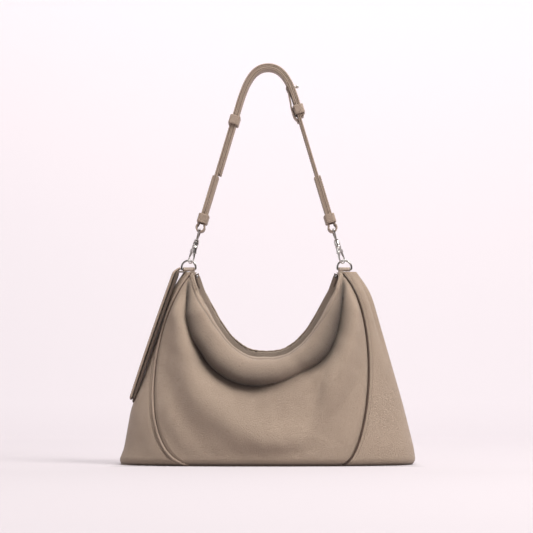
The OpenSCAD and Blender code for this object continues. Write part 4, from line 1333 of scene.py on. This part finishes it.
def zip_pull():
    pivot = joint_place("zip_pull_swing")
    width, length = 7.4, 26.0
    body = np.vstack([arc((0, 0), 2.3, 0, 180, 20), [(-width / 2, -4.5)],
                      arc((0, -length), width / 2 - 0.4, 180, 360, 20), [(width / 2, -4.5)]])
    hole = arc((0, 0), 1.55, 0, 360, 25)[:-1]
    slot = rounded([(-1.6, -8), (1.6, -8), (1.6, -24), (-1.6, -24)], 1.5)

    def place(across, along, through):
        return pivot + TAIL_ACROSS * across + TAIL_UP * along + Y * through
    stands_for(plate("zip_pull_plate", [body, hole, slot], 1.0, 0.3, place, [M["nickel"]]), "zip_pull")


def zip_tongue():
    """The cloth end of the zip, sewn down over the corner of the left gusset."""
    low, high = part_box("zip_tongue")
    low, high = np.array(low) / MM, np.array(high) / MM
    xs = np.linspace(low[0], high[0], 14)
    centre_y, half_y = (low[1] + high[1]) / 2, (high[1] - low[1]) / 2
    points = np.stack([xs, np.full(14, centre_y), np.full(14, (low[2] + high[2]) / 2)], 1)
    profile = rounded_box(half_y, 0.55, 0.4)
    stands_for(sweep("zip_tongue_cloth", points, Y, np.array([0, 0, 1.0]), profile, [M["tape"]]),
               "zip_tongue")


# ---- Floor, light and camera ----

EYE_Z, EYE_DISTANCE, AIM_Z = 0.09, 2.0, 0.256


def studio():
    """A pale sweep that runs from the floor up behind the bag."""
    bend = arc((0, 0), 1, -90, 0, 13)
    flat = [(-6, 0), (-3, 0), (0, 0)] + [(1.2 + 1.2 * y, 1.2 + 1.2 * z) for y, z in bend] + [(2.4, 3),
                                                                                             (2.4, 7)]
    points, faces = [], []
    for y, z in flat:
        points += [(-8000, y * 1000, z * 1000), (8000, y * 1000, z * 1000)]
    for i in range(len(flat) - 1):
        faces.append([2 * i, 2 * i + 1, 2 * i + 3, 2 * i + 2])
    n = Nodes("pale_paper")
    speck = n.noise(60, 4)
    n.bump(speck, 0.0002, 0.1)
    parts = n.add("ShaderNodeSeparateXYZ", {0: n.place})
    upright = n.span(parts.outputs["Z"], 0.02, 1.6, 0.0, 1.0)
    # Painted shadow: the floor's glow fades out in a box under the bag.
    under = n.math("MAXIMUM", n.span(n.math("ABSOLUTE", parts.outputs["X"]), 0.165, 0.2, 0.0, 1.0),
                   n.span(n.math("ABSOLUTE", parts.outputs["Y"]), 0.045, 0.08, 0.0, 1.0))
    tone = n.blend(upright, colour(0.38, 0.35, 0.362), colour(0.60, 0.555, 0.575))
    far = n.span(parts.outputs["Y"], -0.2, 1.6, 0.22, 0.5)
    glow = n.math("MULTIPLY", under, n.math("ADD", far,
                                            n.span(parts.outputs["Z"], 0.02, 1.2, 0.0, 0.06)))
    n.finish(Base_Color=tone, Roughness=0.9, Specular_IOR_Level=0.1, Emission_Strength=glow)
    n.shader.inputs["Emission Color"].default_value = colour(1.0, 0.92, 0.955)
    put_mesh("studio_sweep", points, faces, [n.material], 80)


def area_light(name, place, target, size, watts, tint):
    light = bpy.data.lights.new(name, "AREA")
    light.shape = "DISK"
    light.size = size
    light.energy = watts
    light.color = tint
    lamp = bpy.data.objects.new(name, light)
    lamp.location = place
    lamp.rotation_euler = (Vector(target) - Vector(place)).to_track_quat("-Z", "Y").to_euler()
    bpy.context.scene.collection.objects.link(lamp)


def light():
    middle = (0, 0, 0.2)
    area_light("key", (1.5, -1.1, 2.0), middle, 1.2, 66, (1.0, 0.985, 0.965))
    area_light("fill", (-2.2, -1.6, 0.8), middle, 1.8, 12, (0.98, 0.98, 1.0))
    area_light("top", (0.1, -0.5, 2.3), middle, 1.2, 42, (1.0, 0.985, 0.975))
    world = bpy.data.worlds.new("studio_air")
    bpy.context.scene.world = world
    world.use_nodes = True
    tree = world.node_tree
    air = tree.nodes["Background"]
    where = tree.nodes.new("ShaderNodeTexCoord")
    apart = tree.nodes.new("ShaderNodeSeparateXYZ")
    ramp = tree.nodes.new("ShaderNodeValToRGB")
    tree.links.new(where.outputs["Generated"], apart.inputs[0])
    tree.links.new(apart.outputs["Z"], ramp.inputs[0])
    tree.links.new(ramp.outputs[0], air.inputs["Color"])
    ramp.color_ramp.elements[0].position = 0.0
    ramp.color_ramp.elements[0].color = colour(0.22, 0.19, 0.18)
    ramp.color_ramp.elements[1].position = 0.8
    ramp.color_ramp.elements[1].color = colour(1.0, 0.93, 0.96)
    air.inputs["Strength"].default_value = 0.3


def camera():
    data = bpy.data.cameras.new("camera")
    data.sensor_width = 36
    data.lens = 104
    eye = bpy.data.objects.new("camera", data)
    eye.location = (0, -EYE_DISTANCE, EYE_Z)
    eye.rotation_euler = (math.pi / 2 + math.atan2(AIM_Z - EYE_Z, EYE_DISTANCE), 0, 0)
    bpy.context.scene.collection.objects.link(eye)
    bpy.context.scene.camera = eye
    bpy.context.scene.view_settings.view_transform = "Standard"


def build():
    camera()
    studio()
    light()
    for face in (FRONT, BACK):
        panel(face)
    for side in (LEFT, RIGHT):
        gusset(side)
    inner_sheets()
    mouth_zip()
    piping()
    base()
    straps()
    keepers()
    keeper_tab()
    stud()
    for side, name in ((LEFT, "left"), (RIGHT, "right")):
        ring(name + "_ring")
        ring_tab(side, name + "_ring_tab")
        rivet(side, name + "_rivet")
        hook(side, name + "_hook")
        gate(side, name + "_gate")
        gate_fittings(side, name + "_gate")
        swivel_eye(side, name + "_swivel_eye")
        end_loop(side, name + "_end_loop")
    tail()
    zip_slider()
    zip_pull()
    zip_tongue()


build()
